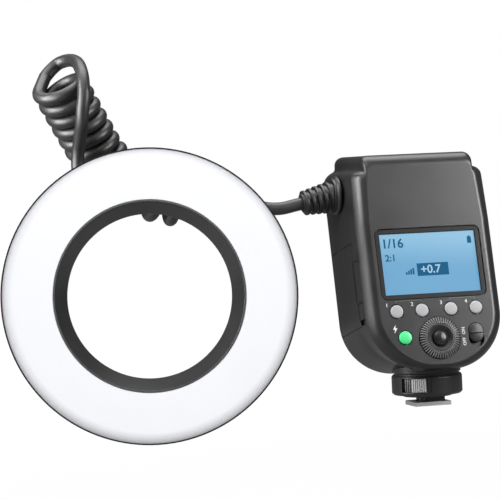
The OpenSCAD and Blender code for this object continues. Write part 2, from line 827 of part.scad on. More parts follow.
// Light: reflector, small lamps next to the cone, flash tubes outside them
lip_flat = 1.1;
seat_w = 1.8;
seat_h = 1.6;
lamp_board_z = [7, 8.6];
reflector_t = 0.8;
reflector_slope = 1.5;
reflector_r = [lip_r + seat_w + 0.8, head_r - head_wall - 1];
floor_r = [
    reflector_r[0] + reflector_slope + reflector_t,
    reflector_r[1] - reflector_slope - reflector_t
];
lamp_r = 1.2;
lamp_ring_r = floor_r[0] + 0.4 + lamp_r;
lamp_angles = [for (i = [0:lamp_count - 1]) (i + 0.5) * 360 / lamp_count];
cap_d = tube_d + 0.6;
cap_l = 4.5;
tube_ring_r = (lamp_ring_r + lamp_r + floor_r[1]) / 2;
tube_z = lamp_board_z[1] + reflector_t + cap_d / 2 + 0.2;
tube_span = 164;
tube_start = 180 - tube_span / 2;

// Boss on the back that holds the cord's gland
boss_x = -0.451 * head_r;
boss_z = -8;
boss_rr = 6.4;
boss_y = [sqrt(pow(plate_hole_r + 0.6, 2) - pow(boss_x + boss_rr, 2)), 0.677 * head_r];
spigot_r = 4.4;
spigot_l = 4;
head_gland_l = 12;

module ring_section(r0, r1, z0, z1) {
    translate([r0, z0]) square([r1 - r0, z1 - z0]);
}

module head_housing() {
    color(black) head() difference() {
        union() {
            rotate_extrude($fn = 128) {
                ring_section(plate_hole_r, head_r - head_round, 0, plate_h);
                ring_section(head_r - head_wall, head_r, head_round, ledge_z);
                ring_section(head_r - lip_wall, head_r, ledge_z - skin, rim_h);
                intersection() {
                    difference() {
                        translate([head_r - head_round, head_round]) circle(head_round);
                        translate([head_r - head_round, head_round]) circle(head_round - plate_h);
                    }
                    ring_section(head_r - head_round - skin, head_r, 0, head_round + skin);
                }
            }
            for (a = post_angles) rotate(a) translate([post_ring_r, 0, plate_h - skin])
                cylinder(r = post_r, h = lamp_board_z[0] - plate_h + skin);
            for (side = [0, 180], y = [-1, 1]) rotate(side)
                translate([rail_x[0], y * (claw_w / 2 + gap + rail_w / 2) - rail_w / 2, plate_h - skin])
                    cube([rail_x[1] - rail_x[0], rail_w, claw_z[1] - plate_h]);
            translate([boss_x, boss_y[0], boss_z]) rotate([-90, 0, 0])
                cylinder(r = boss_rr, h = boss_y[1] - boss_y[0]);
            translate([boss_x - boss_rr, boss_y[0], boss_z])
                cube([2 * boss_rr, boss_y[1] - boss_y[0], -boss_z + skin]);
        }
        for (side = [0, 180]) rotate(side)
            translate([thumb_x[0] - gap, -thumb_w / 2 - gap, -1])
                cube([thumb_x[1] - thumb_x[0] + claw_travel + 2 * gap, thumb_w + 2 * gap, plate_h + 2]);
        for (a = post_angles) rotate(a) translate([post_ring_r, 0, -1]) {
            cylinder(r = screw_r + run, h = lamp_board_z[0]);
            cylinder(r = screw_head_r + run, h = 1 + screw_sink);
        }
        translate([boss_x, boss_y[1] - spigot_l - 0.2, boss_z]) rotate([-90, 0, 0])
            cylinder(r = spigot_r + run, h = spigot_l + 1);
    }
}

module front_diffuser() {
    r1 = head_r - lip_wall - run;
    z1 = head_h - diffuser_round;
    color([0.97, 0.97, 0.99]) head() rotate_extrude($fn = 128) {
        ring_section(r1 - diffuser_t, r1, ledge_z, z1 + skin);
        ring_section(lip_r + run, r1 - diffuser_round + skin, head_h - diffuser_t, head_h);
        intersection() {
            difference() {
                translate([r1 - diffuser_round, z1]) circle(diffuser_round);
                translate([r1 - diffuser_round, z1]) circle(diffuser_round - diffuser_t);
            }
            ring_section(r1 - diffuser_round, r1, z1, head_h);
        }
    }
}

// Black cone from the lens hole to the diffuser, recessed at the back for the lens,
// with a seat for each neighbour
module inner_barrel() {
    seat_z = head_h - diffuser_t;
    color(black) head() difference() {
        rotate_extrude($fn = 128) polygon([
            [recess_r, 0], [recess_r, recess_l], [bore_r, recess_l], [bore_r, bore_l],
            [lip_r - lip_flat, head_h], [lip_r, head_h], [lip_r, seat_z], [lip_r + seat_w, seat_z],
            [lip_r + seat_w, seat_z - seat_h], [lip_r - 0.4, seat_z - seat_h],
            [barrel_r, recess_l + 1.5], [barrel_r, plate_h + flange_h],
            [flange_r, plate_h + flange_h], [flange_r, plate_h],
            [barrel_r, plate_h], [barrel_r, 0]
        ]);
        for (side = [0, 180]) rotate(side)
            translate([recess_r - 1, -claw_w / 2 - gap, claw_z[0] - 0.2])
                cube([barrel_wall + 2, claw_w + 2 * gap, claw_z[1] - claw_z[0] + 0.4]);
    }
}

module reflector_ring() {
    z0 = lamp_board_z[1];
    z1 = head_h - diffuser_t - seat_h - 1;
    color(metal) head() difference() {
        rotate_extrude($fn = 128) polygon([
            [reflector_r[0], z1], [reflector_r[0] + reflector_slope, z0],
            [reflector_r[1] - reflector_slope, z0], [reflector_r[1], z1],
            [reflector_r[1] - reflector_t, z1], [floor_r[1], z0 + reflector_t],
            [floor_r[0], z0 + reflector_t], [reflector_r[0] + reflector_t, z1]
        ]);
        for (a = lamp_angles) rotate(a) translate([lamp_ring_r, 0, z0 - 1])
            cylinder(r = lamp_r + run, h = reflector_t + 2);
    }
}

module flash_tube(start) {
    color([0.95, 0.96, 0.98, 0.5]) head() translate([0, 0, tube_z]) rotate(start)
        rotate_extrude(angle = tube_span) translate([tube_ring_r, 0]) circle(d = tube_d, $fn = 24);
}
module flash_tube_left() {
    flash_tube(tube_start);
}
module flash_tube_right() {
    flash_tube(tube_start - 180);
}

module tube_caps() {
    color(metal) head() for (start = [tube_start, tube_start - 180], end = [0, 1])
        rotate(start + end * tube_span) translate([tube_ring_r, 0, tube_z])
            rotate([90 - end * 180, 0, 0]) cylinder(d = cap_d, h = cap_l);
}

module lamp_board() {
    color(board_green) head() translate([0, 0, lamp_board_z[0]]) difference() {
        cylinder(r = reflector_r[1] - 0.4, h = lamp_board_z[1] - lamp_board_z[0]);
        translate([0, 0, -1]) cylinder(r = reflector_r[0] - 1, h = 4);
    }
}

module focus_lamps() {
    color([0.95, 0.9, 0.6]) head() for (a = lamp_angles) rotate(a)
        translate([lamp_ring_r, 0, lamp_board_z[1]]) rotate_extrude()
            polygon([[0, 0], [lamp_r, 0], [lamp_r, 1.2], [lamp_r * 0.7, 2], [0, 2.3]]);
}

spool_r = 5;
spool_h = 3.6;
cheek_h = 1;
module trigger_coil() {
    color([0.7, 0.45, 0.2]) head() translate([0, -tube_ring_r, plate_h]) {
        cylinder(r = spool_r, h = cheek_h);
        cylinder(r = spool_r - 1.6, h = spool_h);
        translate([0, 0, spool_h]) cylinder(r = spool_r, h = cheek_h);
    }
}

// Lens latch: a plate with a claw at the hole and a thumb piece on the back
module claw(side) {
    color(charcoal) head() rotate(side) difference() {
        union() {
            translate([bore_r, -claw_w / 2, claw_z[0]])
                cube([claw_end_x - bore_r, claw_w, claw_z[1] - claw_z[0]]);
            translate([thumb_x[0], -thumb_w / 2, -thumb_out])
                cube([thumb_x[1] - thumb_x[0], thumb_w, claw_z[0] + thumb_out + skin]);
        }
        translate([0, 0, -1]) cylinder(r = recess_r - claw_reach, h = head_h, $fn = 128);
        for (i = [1:3])
            translate([between(thumb_x[0], thumb_x[1], i / 4) - thumb_groove / 2, -thumb_w, -thumb_out - 1])
                cube([thumb_groove, 2 * thumb_w, 1.5]);
    }
}
module left_claw() {
    claw(180);
}
module right_claw() {
    claw(0);
}

// Tapered strain relief with rounded ribs, from z = 0 to l
rib_depth = 1.4;
rib_share = 0.5;
rib_round = 0.4;
function rib(r, z, w) = [
    [r - rib_depth, z], [r - rib_round, z], [r, z + rib_round],
    [r, z + w - rib_round], [r - rib_round, z + w], [r - rib_depth, z + w]
];
module gland_ribs(r0, r1, l, ribs) {
    pitch = l / ribs;
    outline = [for (i = [0:ribs - 1])
        each rib(between(r0, r1, i / (ribs - 1)), (i + 0.2) * pitch, rib_share * pitch)];
    rotate_extrude() polygon(concat(
        [[0, 0], [r0 - rib_depth, 0]], outline, [[r1 - rib_depth - 0.1, l], [0, l]]));
}

module head_gland() {
    color(black) head() translate([boss_x, boss_y[1], boss_z]) rotate([-90, 0, 0]) {
        translate([0, 0, -spigot_l]) cylinder(r = spigot_r, h = spigot_l + skin);
        gland_ribs(boss_rr - 0.4, cord_d / 2 + 2, head_gland_l, 4);
    }
}

gland_ribs_n = 6;
gland_r = [8.4, 6.3];
gland_flange_r = 9.8;
gland_flange_h = 2;
gland_step_r = 8.8;
gland_step_h = 3.2;
module cable_gland() {
    color(black) slab() translate([-body_hw, gland_t, gland_s]) {
        rotate([0, -90, 0]) {
            translate([0, 0, -wall - 1.5]) cylinder(r = gland_hole_r, h = wall + 1.5 + skin);
            cylinder(r1 = gland_flange_r, r2 = gland_flange_r - 0.8, h = gland_flange_h);
            cylinder(r = gland_step_r, h = gland_step_h);
        }
        intersection() {
            rotate([0, -90 - gland_droop, 0])
                gland_ribs(gland_r[0], gland_r[1], gland_l, gland_ribs_n);
            translate([-2 * gland_l - 1, -gland_l, -gland_l]) cube([2 * gland_l, 2 * gland_l, 2 * gland_l]);
        }
    }
}

module head_screws() {
    color([0.2, 0.2, 0.2]) head() for (a = post_angles) rotate(a) translate([post_ring_r, 0, 0])
        screw(4);
}

// Tubes: rings of points round a path, joined by triangles
function unit(v) = v / norm(v);
function across(v, d) = unit(v - (v * d) * d);
function path_dir(p, i) = unit(p[min(i + 1, len(p) - 1)] - p[max(i - 1, 0)]);
function tube_ring(c, d, u, r, sides) = let (a = across(u, d), b = cross(d, a))
    [for (j = [0:sides - 1]) c + r * (cos(360 * j / sides) * a + sin(360 * j / sides) * b)];

module tube(path, ups, r, sides) {
    n = len(path);
    points = [for (i = [0:n - 1]) each tube_ring(path[i], path_dir(path, i), ups[i], r, sides)];
    sides_faces = [for (i = [0:n - 2], j = [0:sides - 1]) let (k = (j + 1) % sides) each [
        [i * sides + j, i * sides + k, (i + 1) * sides + k],
        [i * sides + j, (i + 1) * sides + k, (i + 1) * sides + j]
    ]];
    start_cap = [for (j = [1:sides - 2]) [0, j + 1, j]];
    end = (n - 1) * sides;
    end_cap = [for (j = [1:sides - 2]) [end, end + j, end + j + 1]];
    faces = [for (f = concat(sides_faces, start_cap, end_cap)) [f[2], f[1], f[0]]];
    polyhedron(points = points, faces = faces);
}

// Smooth curve through route points, within the span after point i
function spline(p, i, f) = let (a = p[i - 1], b = p[i], c = p[i + 1], d = p[i + 2])
    0.5 * (2 * b + (c - a) * f + (2 * a - 5 * b + 4 * c - d) * f * f
        + (3 * b - a - 3 * c + d) * f * f * f);

// Axis of the curly cord: straight, a bend, straight
curl_start = [-103, 25, 108];
curl_corner = [-141, 38, 106];
curl_end = [-177, 15, 167];
curl_in = unit(curl_corner - curl_start);
curl_out = unit(curl_end - curl_corner);
curl_turn = acos(curl_in * curl_out);
curl_up = unit(cross(curl_in, curl_out));
bend_tangent = curl_bend_r * tan(curl_turn / 2);
run_in = norm(curl_corner - curl_start) - bend_tangent;
run_bend = curl_bend_r * curl_turn * PI / 180;
run_out = norm(curl_end - curl_corner) - bend_tangent;
bend_side = cross(curl_up, curl_in);
bend_centre = curl_start + run_in * curl_in + curl_bend_r * bend_side;
function bend_angle(s) = min(max((s - run_in) / curl_bend_r * 180 / PI, 0), curl_turn);
function axis_dir(s) = cos(bend_angle(s)) * curl_in + sin(bend_angle(s)) * bend_side;
function axis_point(s) = s < run_in ? curl_start + s * curl_in
    : s < run_in + run_bend
    ? bend_centre - curl_bend_r * (cos(bend_angle(s)) * bend_side - sin(bend_angle(s)) * curl_in)
    : curl_end - (run_in + run_bend + run_out - s) * curl_out;

// Curls wound left-handed round that axis, growing out of it over the first turn
curl_r = (curl_d - cord_d) / 2;
curl_rings = 8;
turns = bend_turns + top_turns;
grow_turns = 1.2;
last_angle = 72;
function turn_run(t) = t <= bend_turns ? (run_in + run_bend) * t / bend_turns
    : run_in + run_bend + run_out * (t - bend_turns) / top_turns;
function grow(t) = let (x = min(t / grow_turns, 1)) x * x * (3 - 2 * x);
function curl_angle(t) = last_angle - 360 * (t - turns);
function curl_radial(t) = let (d = axis_dir(turn_run(t)))
    cos(curl_angle(t)) * curl_up + sin(curl_angle(t)) * cross(d, curl_up);
function curl_point(t) = axis_point(turn_run(t)) + curl_r * grow(t) * curl_radial(t);
helix_turns = [for (k = [0:turns * curl_rings]) k / curl_rings];
helix = [for (t = helix_turns) curl_point(t)];
curl_first = curl_start - cord_d * curl_in;
last_dir = unit(curl_point(turns) - curl_point(turns - 0.02));
curl_last = helix[len(helix) - 1] + cord_d * last_dir;
curl_path = concat([curl_first, curl_start - cord_d / 2 * curl_in], helix,
    [curl_last - cord_d / 2 * last_dir, curl_last]);
curl_ups = concat([curl_radial(0), curl_radial(0)], [for (t = helix_turns) curl_radial(t)],
    [curl_radial(turns), curl_radial(turns)]);

// Least gap between the curls, measured between points over half a turn apart
curl_gaps = [for (i = [0:len(helix) - 1], j = [i + 5:1:len(helix) - 1])
    norm(helix[i] - helix[j]) - cord_d];
echo(least_curl_gap = min(curl_gaps));

// Routes of the two plain leads. Their first and last spans are straight, so that
// their ends meet the glands and the curls squarely.
lead_gap = 0.05;
lead_stub = 3;
function gland_point(l) = slab_point(-body_hw - l * cos(gland_droop), gland_t,
    gland_s - l * sin(gland_droop));
unit_lead_route = [
    gland_point(gland_l + lead_gap), gland_point(gland_l + lead_stub),
    [-68, 16.4, 101.2], [-77, 17, 102.4], [-86, 19.2, 107.6],
    curl_first - lead_stub * curl_in, curl_first - lead_gap * curl_in
];
function head_gland_point(l) = head_point(boss_x, boss_y[1] + head_gland_l + l, boss_z);
head_lead_route = [
    curl_last + lead_gap * last_dir, curl_last + lead_stub * last_dir,
    [-177, 31, 175], [-173, 30.5, 178], [-169, 25.5, 179], [-167, 18, 177.7],
    [-166.8, 10.5, 175], [-167, 4, 171], [-167.5, -0.5, 166], [-168, -3, 160],
    [-169, -3, 153.5], [-169.3, -1.2, 147.2], [-169.6, 3, 140.8], [-170.1, 6.9, 134.6],
    head_gland_point(2 * lead_stub), head_gland_point(lead_gap)
];

module cord_tube(route, steps, up, sides) {
    last = len(route) - 1;
    inner = [for (i = [1:last - 2], k = [0:steps - 1]) spline(route, i, k / steps)];
    path = concat([route[0]], inner, [route[last - 1], route[last]]);
    tube(path, [for (p = path) up], cord_d / 2, sides);
}
module cord_unit_lead() {
    color(black) cord_tube(unit_lead_route, 3, [0, 0, 1], 10);
}
module cord_curls() {
    color(black) tube(curl_path, curl_ups, cord_d / 2, 6);
}
module cord_head_lead() {
    color(black) cord_tube(head_lead_route, 3, [-0.8, -0.2, 0.5], 10);
}

// Small compression springs behind the lens latches
spring_turns = 3;
spring_wire_d = 0.6;
spring_d = 2.4;
spring_clear = 0.25;
spring_z = (claw_z[0] + claw_z[1]) / 2;
module claw_spring(side) {
    x0 = claw_end_x + spring_wire_d / 2;
    x1 = head_r - head_wall - spring_wire_d - spring_clear;
    r = (spring_d - spring_wire_d) / 2;
    steps = [for (k = [0:spring_turns * curl_rings]) k / curl_rings];
    path = [for (t = steps) [between(x0, x1, t / spring_turns), r * cos(360 * t), r * sin(360 * t)]];
    ups = [for (t = steps) [0, cos(360 * t), sin(360 * t)]];
    color(metal) head() rotate(side) translate([0, 0, spring_z]) tube(path, ups, spring_wire_d / 2, 6);
}
module left_claw_spring() {
    claw_spring(180);
}
module right_claw_spring() {
    claw_spring(0);
}

face_cover();
rear_shell();
screen_pane();
lcd_panel();
lcd_frame();
control_board();
tact_switches();
dial_encoder();
switch_body();
power_board();
flash_capacitor();
charge_transformer();
battery_bay();
battery_contacts();
assist_window();
neck_ring();
foot_collar();
foot_block();
foot_plate();
contact_pins();
cable_gland();
case_screws();
cord_unit_lead();
mode_button();
lamp_button();
menu_button();
ratio_button();
test_button();
set_button();
control_dial();
power_switch();
battery_case();
battery_cells();
battery_latch();
lock_lever();
lock_pin();
head_housing();
front_diffuser();
inner_barrel();
reflector_ring();
flash_tube_left();
flash_tube_right();
tube_caps();
lamp_board();
focus_lamps();
trigger_coil();
left_claw();
right_claw();
left_claw_spring();
right_claw_spring();
head_gland();
head_screws();
cord_curls();
cord_head_lead();
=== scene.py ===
import json
import math

import bmesh
import bpy
import numpy as np
from mathutils import Matrix, Vector

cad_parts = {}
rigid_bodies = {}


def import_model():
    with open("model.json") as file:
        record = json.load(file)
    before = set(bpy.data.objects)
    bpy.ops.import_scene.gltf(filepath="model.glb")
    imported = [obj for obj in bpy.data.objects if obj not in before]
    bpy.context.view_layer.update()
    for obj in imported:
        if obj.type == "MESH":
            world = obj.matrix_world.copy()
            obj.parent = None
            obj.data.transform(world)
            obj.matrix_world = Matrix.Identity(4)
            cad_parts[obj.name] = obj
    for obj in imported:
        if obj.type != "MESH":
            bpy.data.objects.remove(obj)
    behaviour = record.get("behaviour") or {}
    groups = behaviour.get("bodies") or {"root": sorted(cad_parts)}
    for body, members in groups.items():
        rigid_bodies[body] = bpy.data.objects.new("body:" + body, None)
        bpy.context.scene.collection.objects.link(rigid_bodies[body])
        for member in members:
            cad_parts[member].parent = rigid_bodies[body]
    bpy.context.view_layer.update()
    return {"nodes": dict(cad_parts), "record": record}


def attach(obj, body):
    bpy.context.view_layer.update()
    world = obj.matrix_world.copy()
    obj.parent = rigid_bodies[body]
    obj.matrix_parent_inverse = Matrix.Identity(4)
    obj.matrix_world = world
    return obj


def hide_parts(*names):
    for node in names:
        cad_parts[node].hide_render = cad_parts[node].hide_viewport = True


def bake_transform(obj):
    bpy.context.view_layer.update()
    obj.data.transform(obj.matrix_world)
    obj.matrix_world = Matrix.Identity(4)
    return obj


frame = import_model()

MM = 0.001


# Frames: lengths below are in millimetres, in the frame of the shoe foot

def shift(x, y, z):
    return Matrix.Translation((x, y, z))


def turn(degrees, axis):
    return Matrix.Rotation(math.radians(degrees), 4, axis)


LEAN, FACE_Y, SLAB_Z = 14, -26.9, 20
HEAD_TURN, HEAD_TIP = 12.2, 2.6
SLAB = shift(0, FACE_Y, SLAB_Z) @ turn(-LEAN, "X")
HEAD = shift(-141.5, -9, 62.5) @ turn(-HEAD_TURN, "Z") @ turn(90 - HEAD_TIP, "X")
UPRIGHT = Matrix()


def on_face(x, s):
    """Frame on the front face: x right, y up the face, z out of it."""
    return SLAB @ shift(x, 0, s) @ turn(90, "X")


def add_object(name, data):
    obj = bpy.data.objects.new(name, data)
    bpy.context.collection.objects.link(obj)
    return obj


# Camera, at the photograph's place

def make_camera():
    place = Vector((-394.28, -1181.83, 116.94))
    azimuth, elevation, roll = 14.517, 1.645, 2.61
    data = bpy.data.cameras.new("photo_camera")
    data.sensor_width = 36
    data.lens = 179.14
    data.clip_start = 0.05
    data.clip_end = 20
    camera = add_object("photo_camera", data)
    look = turn(-azimuth, "Z") @ turn(90 - elevation, "X") @ turn(-roll, "Z")
    camera.matrix_world = Matrix.Translation(place * MM) @ look
    bpy.context.scene.camera = camera


make_camera()


# Finishes: a socket that takes part in Python sums, and one method for nodes

class Socket:
    def __init__(self, tree, out):
        self.tree = tree
        self.out = out

    def math(self, operation, *others, swap=False):
        values = [self, *others]
        if swap:
            values.reverse()
        node = self.tree.nodes.new("ShaderNodeMath")
        node.operation = operation
        for slot, value in zip(node.inputs, values):
            if isinstance(value, Socket):
                self.tree.links.new(value.out, slot)
            else:
                slot.default_value = value
        return Socket(self.tree, node.outputs[0])

    def __add__(self, other):
        return self.math("ADD", other)

    def __sub__(self, other):
        return self.math("SUBTRACT", other)

    def __rsub__(self, other):
        return self.math("SUBTRACT", other, swap=True)

    def __mul__(self, other):
        return self.math("MULTIPLY", other)

    def __truediv__(self, other):
        return self.math("DIVIDE", other)

    def __rtruediv__(self, other):
        return self.math("DIVIDE", other, swap=True)

    def __gt__(self, other):
        return self.math("GREATER_THAN", other)

    def __lt__(self, other):
        return self.math("LESS_THAN", other)

    def __abs__(self):
        return self.math("ABSOLUTE")

    __radd__ = __add__
    __rmul__ = __mul__


class Nodes:
    """A node tree that is built by one method."""

    def __init__(self, tree):
        self.tree = tree

    def node(self, kind, settings=None, out=0, numbered=None, **sockets):
        """Add a node: its settings first, then its sockets' values or links, by name or by number."""
        node = self.tree.nodes.new(kind)
        for key, value in (settings or {}).items():
            setattr(node, key, value)
        for key, value in sockets.items():
            self.feed(node.inputs[key.replace("_", " ")], value)
        for number, value in (numbered or {}).items():
            self.feed(node.inputs[number], value)
        return Socket(self.tree, node.outputs[out])

    def feed(self, slot, value):
        if isinstance(value, Socket):
            self.tree.links.new(value.out, slot)
        elif slot.type == "RGBA" and len(value) == 3:
            slot.default_value = (*value, 1)
        else:
            slot.default_value = value


class Finish(Nodes):
    def __init__(self, name):
        self.material = bpy.data.materials.new(name)
        self.material.use_nodes = True
        super().__init__(self.material.node_tree)
        self.shader = self.tree.nodes["Principled BSDF"]

    def set(self, **sockets):
        """Feed the shader and hand back the material."""
        for key, value in sockets.items():
            self.feed(self.shader.inputs[key.replace("_", " ")], value)
        return self.material

    def place(self):
        return self.node("ShaderNodeTexCoord", out="Object")

    def along(self, axis):
        """Place along one axis, in metres."""
        return self.node("ShaderNodeSeparateXYZ", out=axis, Vector=self.place())

    def noise(self, size_mm, detail=2.0, vector=None):
        return self.node("ShaderNodeTexNoise", Vector=vector or self.place(), Scale=1 / (size_mm * MM),
                         Detail=detail)

    def mix(self, factor, a, b):
        """Mix two colours; the node's sockets share their names, so they go by number."""
        return self.node("ShaderNodeMix", {"data_type": "RGBA"}, out=2, numbered={0: factor, 6: a, 7: b})

    def smooth(self, value, low, high):
        return self.node("ShaderNodeMapRange", {"interpolation_type": "SMOOTHSTEP"}, Value=value,
                         From_Min=low, From_Max=high)

    def bump(self, height, depth_mm):
        return self.node("ShaderNodeBump", Height=height, Distance=depth_mm * MM, Strength=1.0)


def shade(colour, factor):
    return tuple(min(c * factor, 1) for c in colour)


def moulded_plastic(name, colour, rough, grain_mm, depth_mm):
    """Spark-eroded moulding: fine grain, slight mottling and handled patches."""
    f = Finish(name)
    grain = f.noise(grain_mm, 3)
    patches = f.noise(18)
    return f.set(Base_Color=f.mix(f.smooth(patches, 0.3, 0.7), shade(colour, 0.9), shade(colour, 1.12)),
                 Roughness=rough - 0.05 + 0.1 * patches + 0.06 * grain, Normal=f.bump(grain, depth_mm),
                 IOR=1.5)


def smooth_plastic(name, colour, rough, coat=0.0):
    f = Finish(name)
    patches = f.noise(6)
    return f.set(Base_Color=f.mix(patches, shade(colour, 0.95), shade(colour, 1.05)),
                 Roughness=rough - 0.04 + 0.08 * patches, Normal=f.bump(f.noise(0.8), 0.006),
                 Coat_Weight=coat, Coat_Roughness=0.12)


def rubber_cord(name, colour):
    """Extruded jacket: a fine skin and dusty, slightly paler patches."""
    f = Finish(name)
    dust = f.noise(9, 3)
    skin = f.noise(0.5, 3)
    return f.set(Base_Color=f.mix(f.smooth(dust, 0.35, 0.75), colour, shade(colour, 1.5)),
                 Roughness=0.34 + 0.12 * dust + 0.05 * skin, Normal=f.bump(skin, 0.02),
                 Specular_IOR_Level=0.6)


def brushed_metal(name, colour, rough, along="X"):
    """Metal with fine lines along one axis."""
    f = Finish(name)
    stretch = [0.05 if axis == along else 1 for axis in "XYZ"]
    lines = f.noise(0.25, vector=f.node("ShaderNodeMapping", Vector=f.place(), Scale=stretch))
    return f.set(Base_Color=f.mix(lines, shade(colour, 0.86), shade(colour, 1.1)), Metallic=1.0,
                 Roughness=rough - 0.06 + 0.14 * lines, Normal=f.bump(lines, 0.006))


def milky_diffuser(name):
    """Milky acrylic: soft, slightly cloudy white with a satin skin."""
    f = Finish(name)
    cloud = f.noise(30)
    return f.set(Base_Color=f.mix(cloud, (0.84, 0.85, 0.885), (0.88, 0.885, 0.915)),
                 Roughness=0.36 + 0.05 * cloud, Normal=f.bump(f.noise(1.2), 0.004), IOR=1.49,
                 Specular_IOR_Level=0.35)


def lit_screen(name):
    """Backlit panel: paler towards its top, with a faint pixel grid."""
    f = Finish(name)
    x, z = f.along("X"), f.along("Z")
    cell, line = 0.42 * MM, 0.86
    glow = f.smooth(x + z * 12.0, 0.8, 1.1)
    grid = ((x / cell).math("FRACT") > line).math("MAXIMUM", (z / cell).math("FRACT") > line)
    blue = f.mix(glow, (0.16, 0.385, 0.605), (0.33, 0.59, 0.79))
    blue = f.mix(grid * 0.12, blue, (0.08, 0.25, 0.45))
    return f.set(Base_Color=(0.02, 0.04, 0.06), Roughness=0.6, Specular_IOR_Level=0.1, Emission_Color=blue,
                 Emission_Strength=1.0)


def screen_ink(name, colour, lift):
    f = Finish(name)
    tint = f.noise(2.0, 1)
    return f.set(Base_Color=shade(colour, 0.1), Roughness=0.6, Specular_IOR_Level=0.0,
                 Emission_Color=f.mix(tint, shade(colour, 0.92), shade(colour, 1.08)),
                 Emission_Strength=lift)


def window_pane(name):
    """Clear pane with a dark border printed behind it."""
    f = Finish(name)
    half_w, mid_z, half_h = 24.9 * MM, 71.5 * MM, 15.1 * MM
    border = (abs(f.along("X")) > half_w).math("MAXIMUM", abs(f.along("Z") - mid_z) > half_h)
    smear = f.noise(12)
    return f.set(Base_Color=(0.035, 0.035, 0.036), Roughness=0.12 + 0.06 * smear,
                 Alpha=0.03 + 0.97 * border, Specular_IOR_Level=0.4)


def printed_ink(name, colour):
    f = Finish(name)
    wear = f.noise(0.9, 3)
    return f.set(Base_Color=f.mix(wear, shade(colour, 0.85), colour), Roughness=0.5 + 0.1 * wear,
                 Normal=f.bump(wear, 0.004))


def circuit_board(name):
    f = Finish(name)
    tracks = f.node("ShaderNodeTexVoronoi", {"distance": "MANHATTAN", "feature": "F1"}, Vector=f.place(),
                    Scale=1 / (2.4 * MM))
    return f.set(Base_Color=f.mix(tracks > 0.42, (0.012, 0.12, 0.05), (0.05, 0.26, 0.11)),
                 Roughness=0.38 + 0.1 * f.noise(5), Normal=f.bump(tracks, 0.03))


def clear_glass(name, colour):
    f = Finish(name)
    return f.set(Base_Color=colour, Roughness=0.05 + 0.05 * f.noise(8), Alpha=0.35, Specular_IOR_Level=0.6)


def red_window(name):
    f = Finish(name)
    depth = f.noise(7)
    return f.set(Base_Color=f.mix(depth, (0.10, 0.004, 0.006), (0.19, 0.008, 0.01)),
                 Roughness=0.12 + 0.05 * depth, Coat_Weight=0.6, Coat_Roughness=0.05)


# Each slot: its name, its maker, and then what the maker takes, such as colour and roughness
FINISH = {name: make(name, *values) for name, make, *values in (
    ("body_charcoal", moulded_plastic, (0.014, 0.014, 0.0146), 0.3, 0.35, 0.007),
    ("black_plastic", moulded_plastic, (0.01, 0.01, 0.0105), 0.38, 0.3, 0.015),
    ("button_grey", smooth_plastic, (0.32, 0.32, 0.33), 0.45),
    ("button_green", smooth_plastic, (0.05, 0.62, 0.2), 0.4, 0.1),
    ("screen_glass", window_pane),
    ("screen_blue", lit_screen),
    ("board_green", circuit_board),
    ("component_dark", smooth_plastic, (0.05, 0.05, 0.06), 0.45),
    ("steel", brushed_metal, (0.8, 0.805, 0.81), 0.34),
    ("gold_contact", brushed_metal, (0.83, 0.62, 0.28), 0.22, "Z"),
    ("cell_blue", smooth_plastic, (0.06, 0.17, 0.32), 0.3, 0.4),
    ("window_red", red_window),
    ("screw_black", brushed_metal, (0.09, 0.09, 0.095), 0.4),
    ("cord_rubber", rubber_cord, (0.009, 0.009, 0.0095)),
    ("diffuser_white", milky_diffuser),
    ("reflector_silver", brushed_metal, (0.86, 0.87, 0.88), 0.2),
    ("tube_glass", clear_glass, (0.9, 0.92, 0.95)),
    ("lamp_cream", smooth_plastic, (0.85, 0.74, 0.4), 0.25, 0.5),
    ("copper_winding", brushed_metal, (0.62, 0.3, 0.12), 0.3, "Z"),
    ("lever_grey", moulded_plastic, (0.36, 0.36, 0.365), 0.45, 0.3, 0.015),
)}
# Painted highlight: the dial's ribs take a grey far lighter than the dial's own dark plastic, standing in
# for light on their tops
RIB_GREY_PAINTED_LIT = moulded_plastic("rib_grey", (0.13, 0.13, 0.132), 0.3, 0.3, 0.005)
# Painted shade: a darker copy of the lever's grey, for the shutter that sits recessed behind the collar's
# window
SHUTTER_GREY_PAINTED_SHADE = moulded_plastic("shutter_grey", (0.1, 0.1, 0.102), 0.4, 0.3, 0.01)
GLOSS_DARK = smooth_plastic("gloss_dark", (0.012, 0.012, 0.0125), 0.24)
INK_WHITE = printed_ink("ink_white", (0.75, 0.75, 0.75))
INK_GREY = printed_ink("ink_grey", (0.16, 0.16, 0.165))
INK_NAVY = screen_ink("ink_navy", (0.018, 0.125, 0.26), 0.9)
INK_PALE = screen_ink("ink_pale", (0.42, 0.66, 0.82), 0.9)

for subpart in frame["record"]["subparts"]:
    node = frame["nodes"][subpart["node"]]
    obj = node if isinstance(node, bpy.types.Object) else bpy.data.objects[subpart["node"]]
    obj.data.materials.clear()
    obj.data.materials.append(FINISH[subpart["material_slot"]])


# Pieces

CUT, KEEP = "DIFFERENCE", "INTERSECT"
WELD = 1e-7
CARVED_SHARP, SOFT_ANGLE = 32, 40
# Radius that closes a turned profile on its axis
ON_AXIS = 0.001


def add_piece(name, mesh, body, slot=None, replaces=(), finish=None):
    obj = add_object(name, mesh)
    mesh.materials.clear()
    mesh.materials.append(finish or FINISH[slot])
    if body:
        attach(obj, body)
    if replaces:
        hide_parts(*replaces)
    return obj


def smooth_mesh(mesh, sharp=35):
    mesh.polygons.foreach_set("use_smooth", [True] * len(mesh.polygons))
    mesh.set_sharp_from_angle(angle=math.radians(sharp))
    mesh.update()
    return mesh


def build_mesh(name, verts, faces, place=UPRIGHT, sharp=35):
    mesh = bpy.data.meshes.new(name)
    mesh.from_pydata([place @ Vector(v) * MM for v in verts], [], faces)
    bm = bmesh.new()
    bm.from_mesh(mesh)
    bmesh.ops.remove_doubles(bm, verts=bm.verts, dist=WELD)
    bmesh.ops.recalc_face_normals(bm, faces=bm.faces)
    bm.to_mesh(mesh)
    bm.free()
    return smooth_mesh(mesh, sharp)


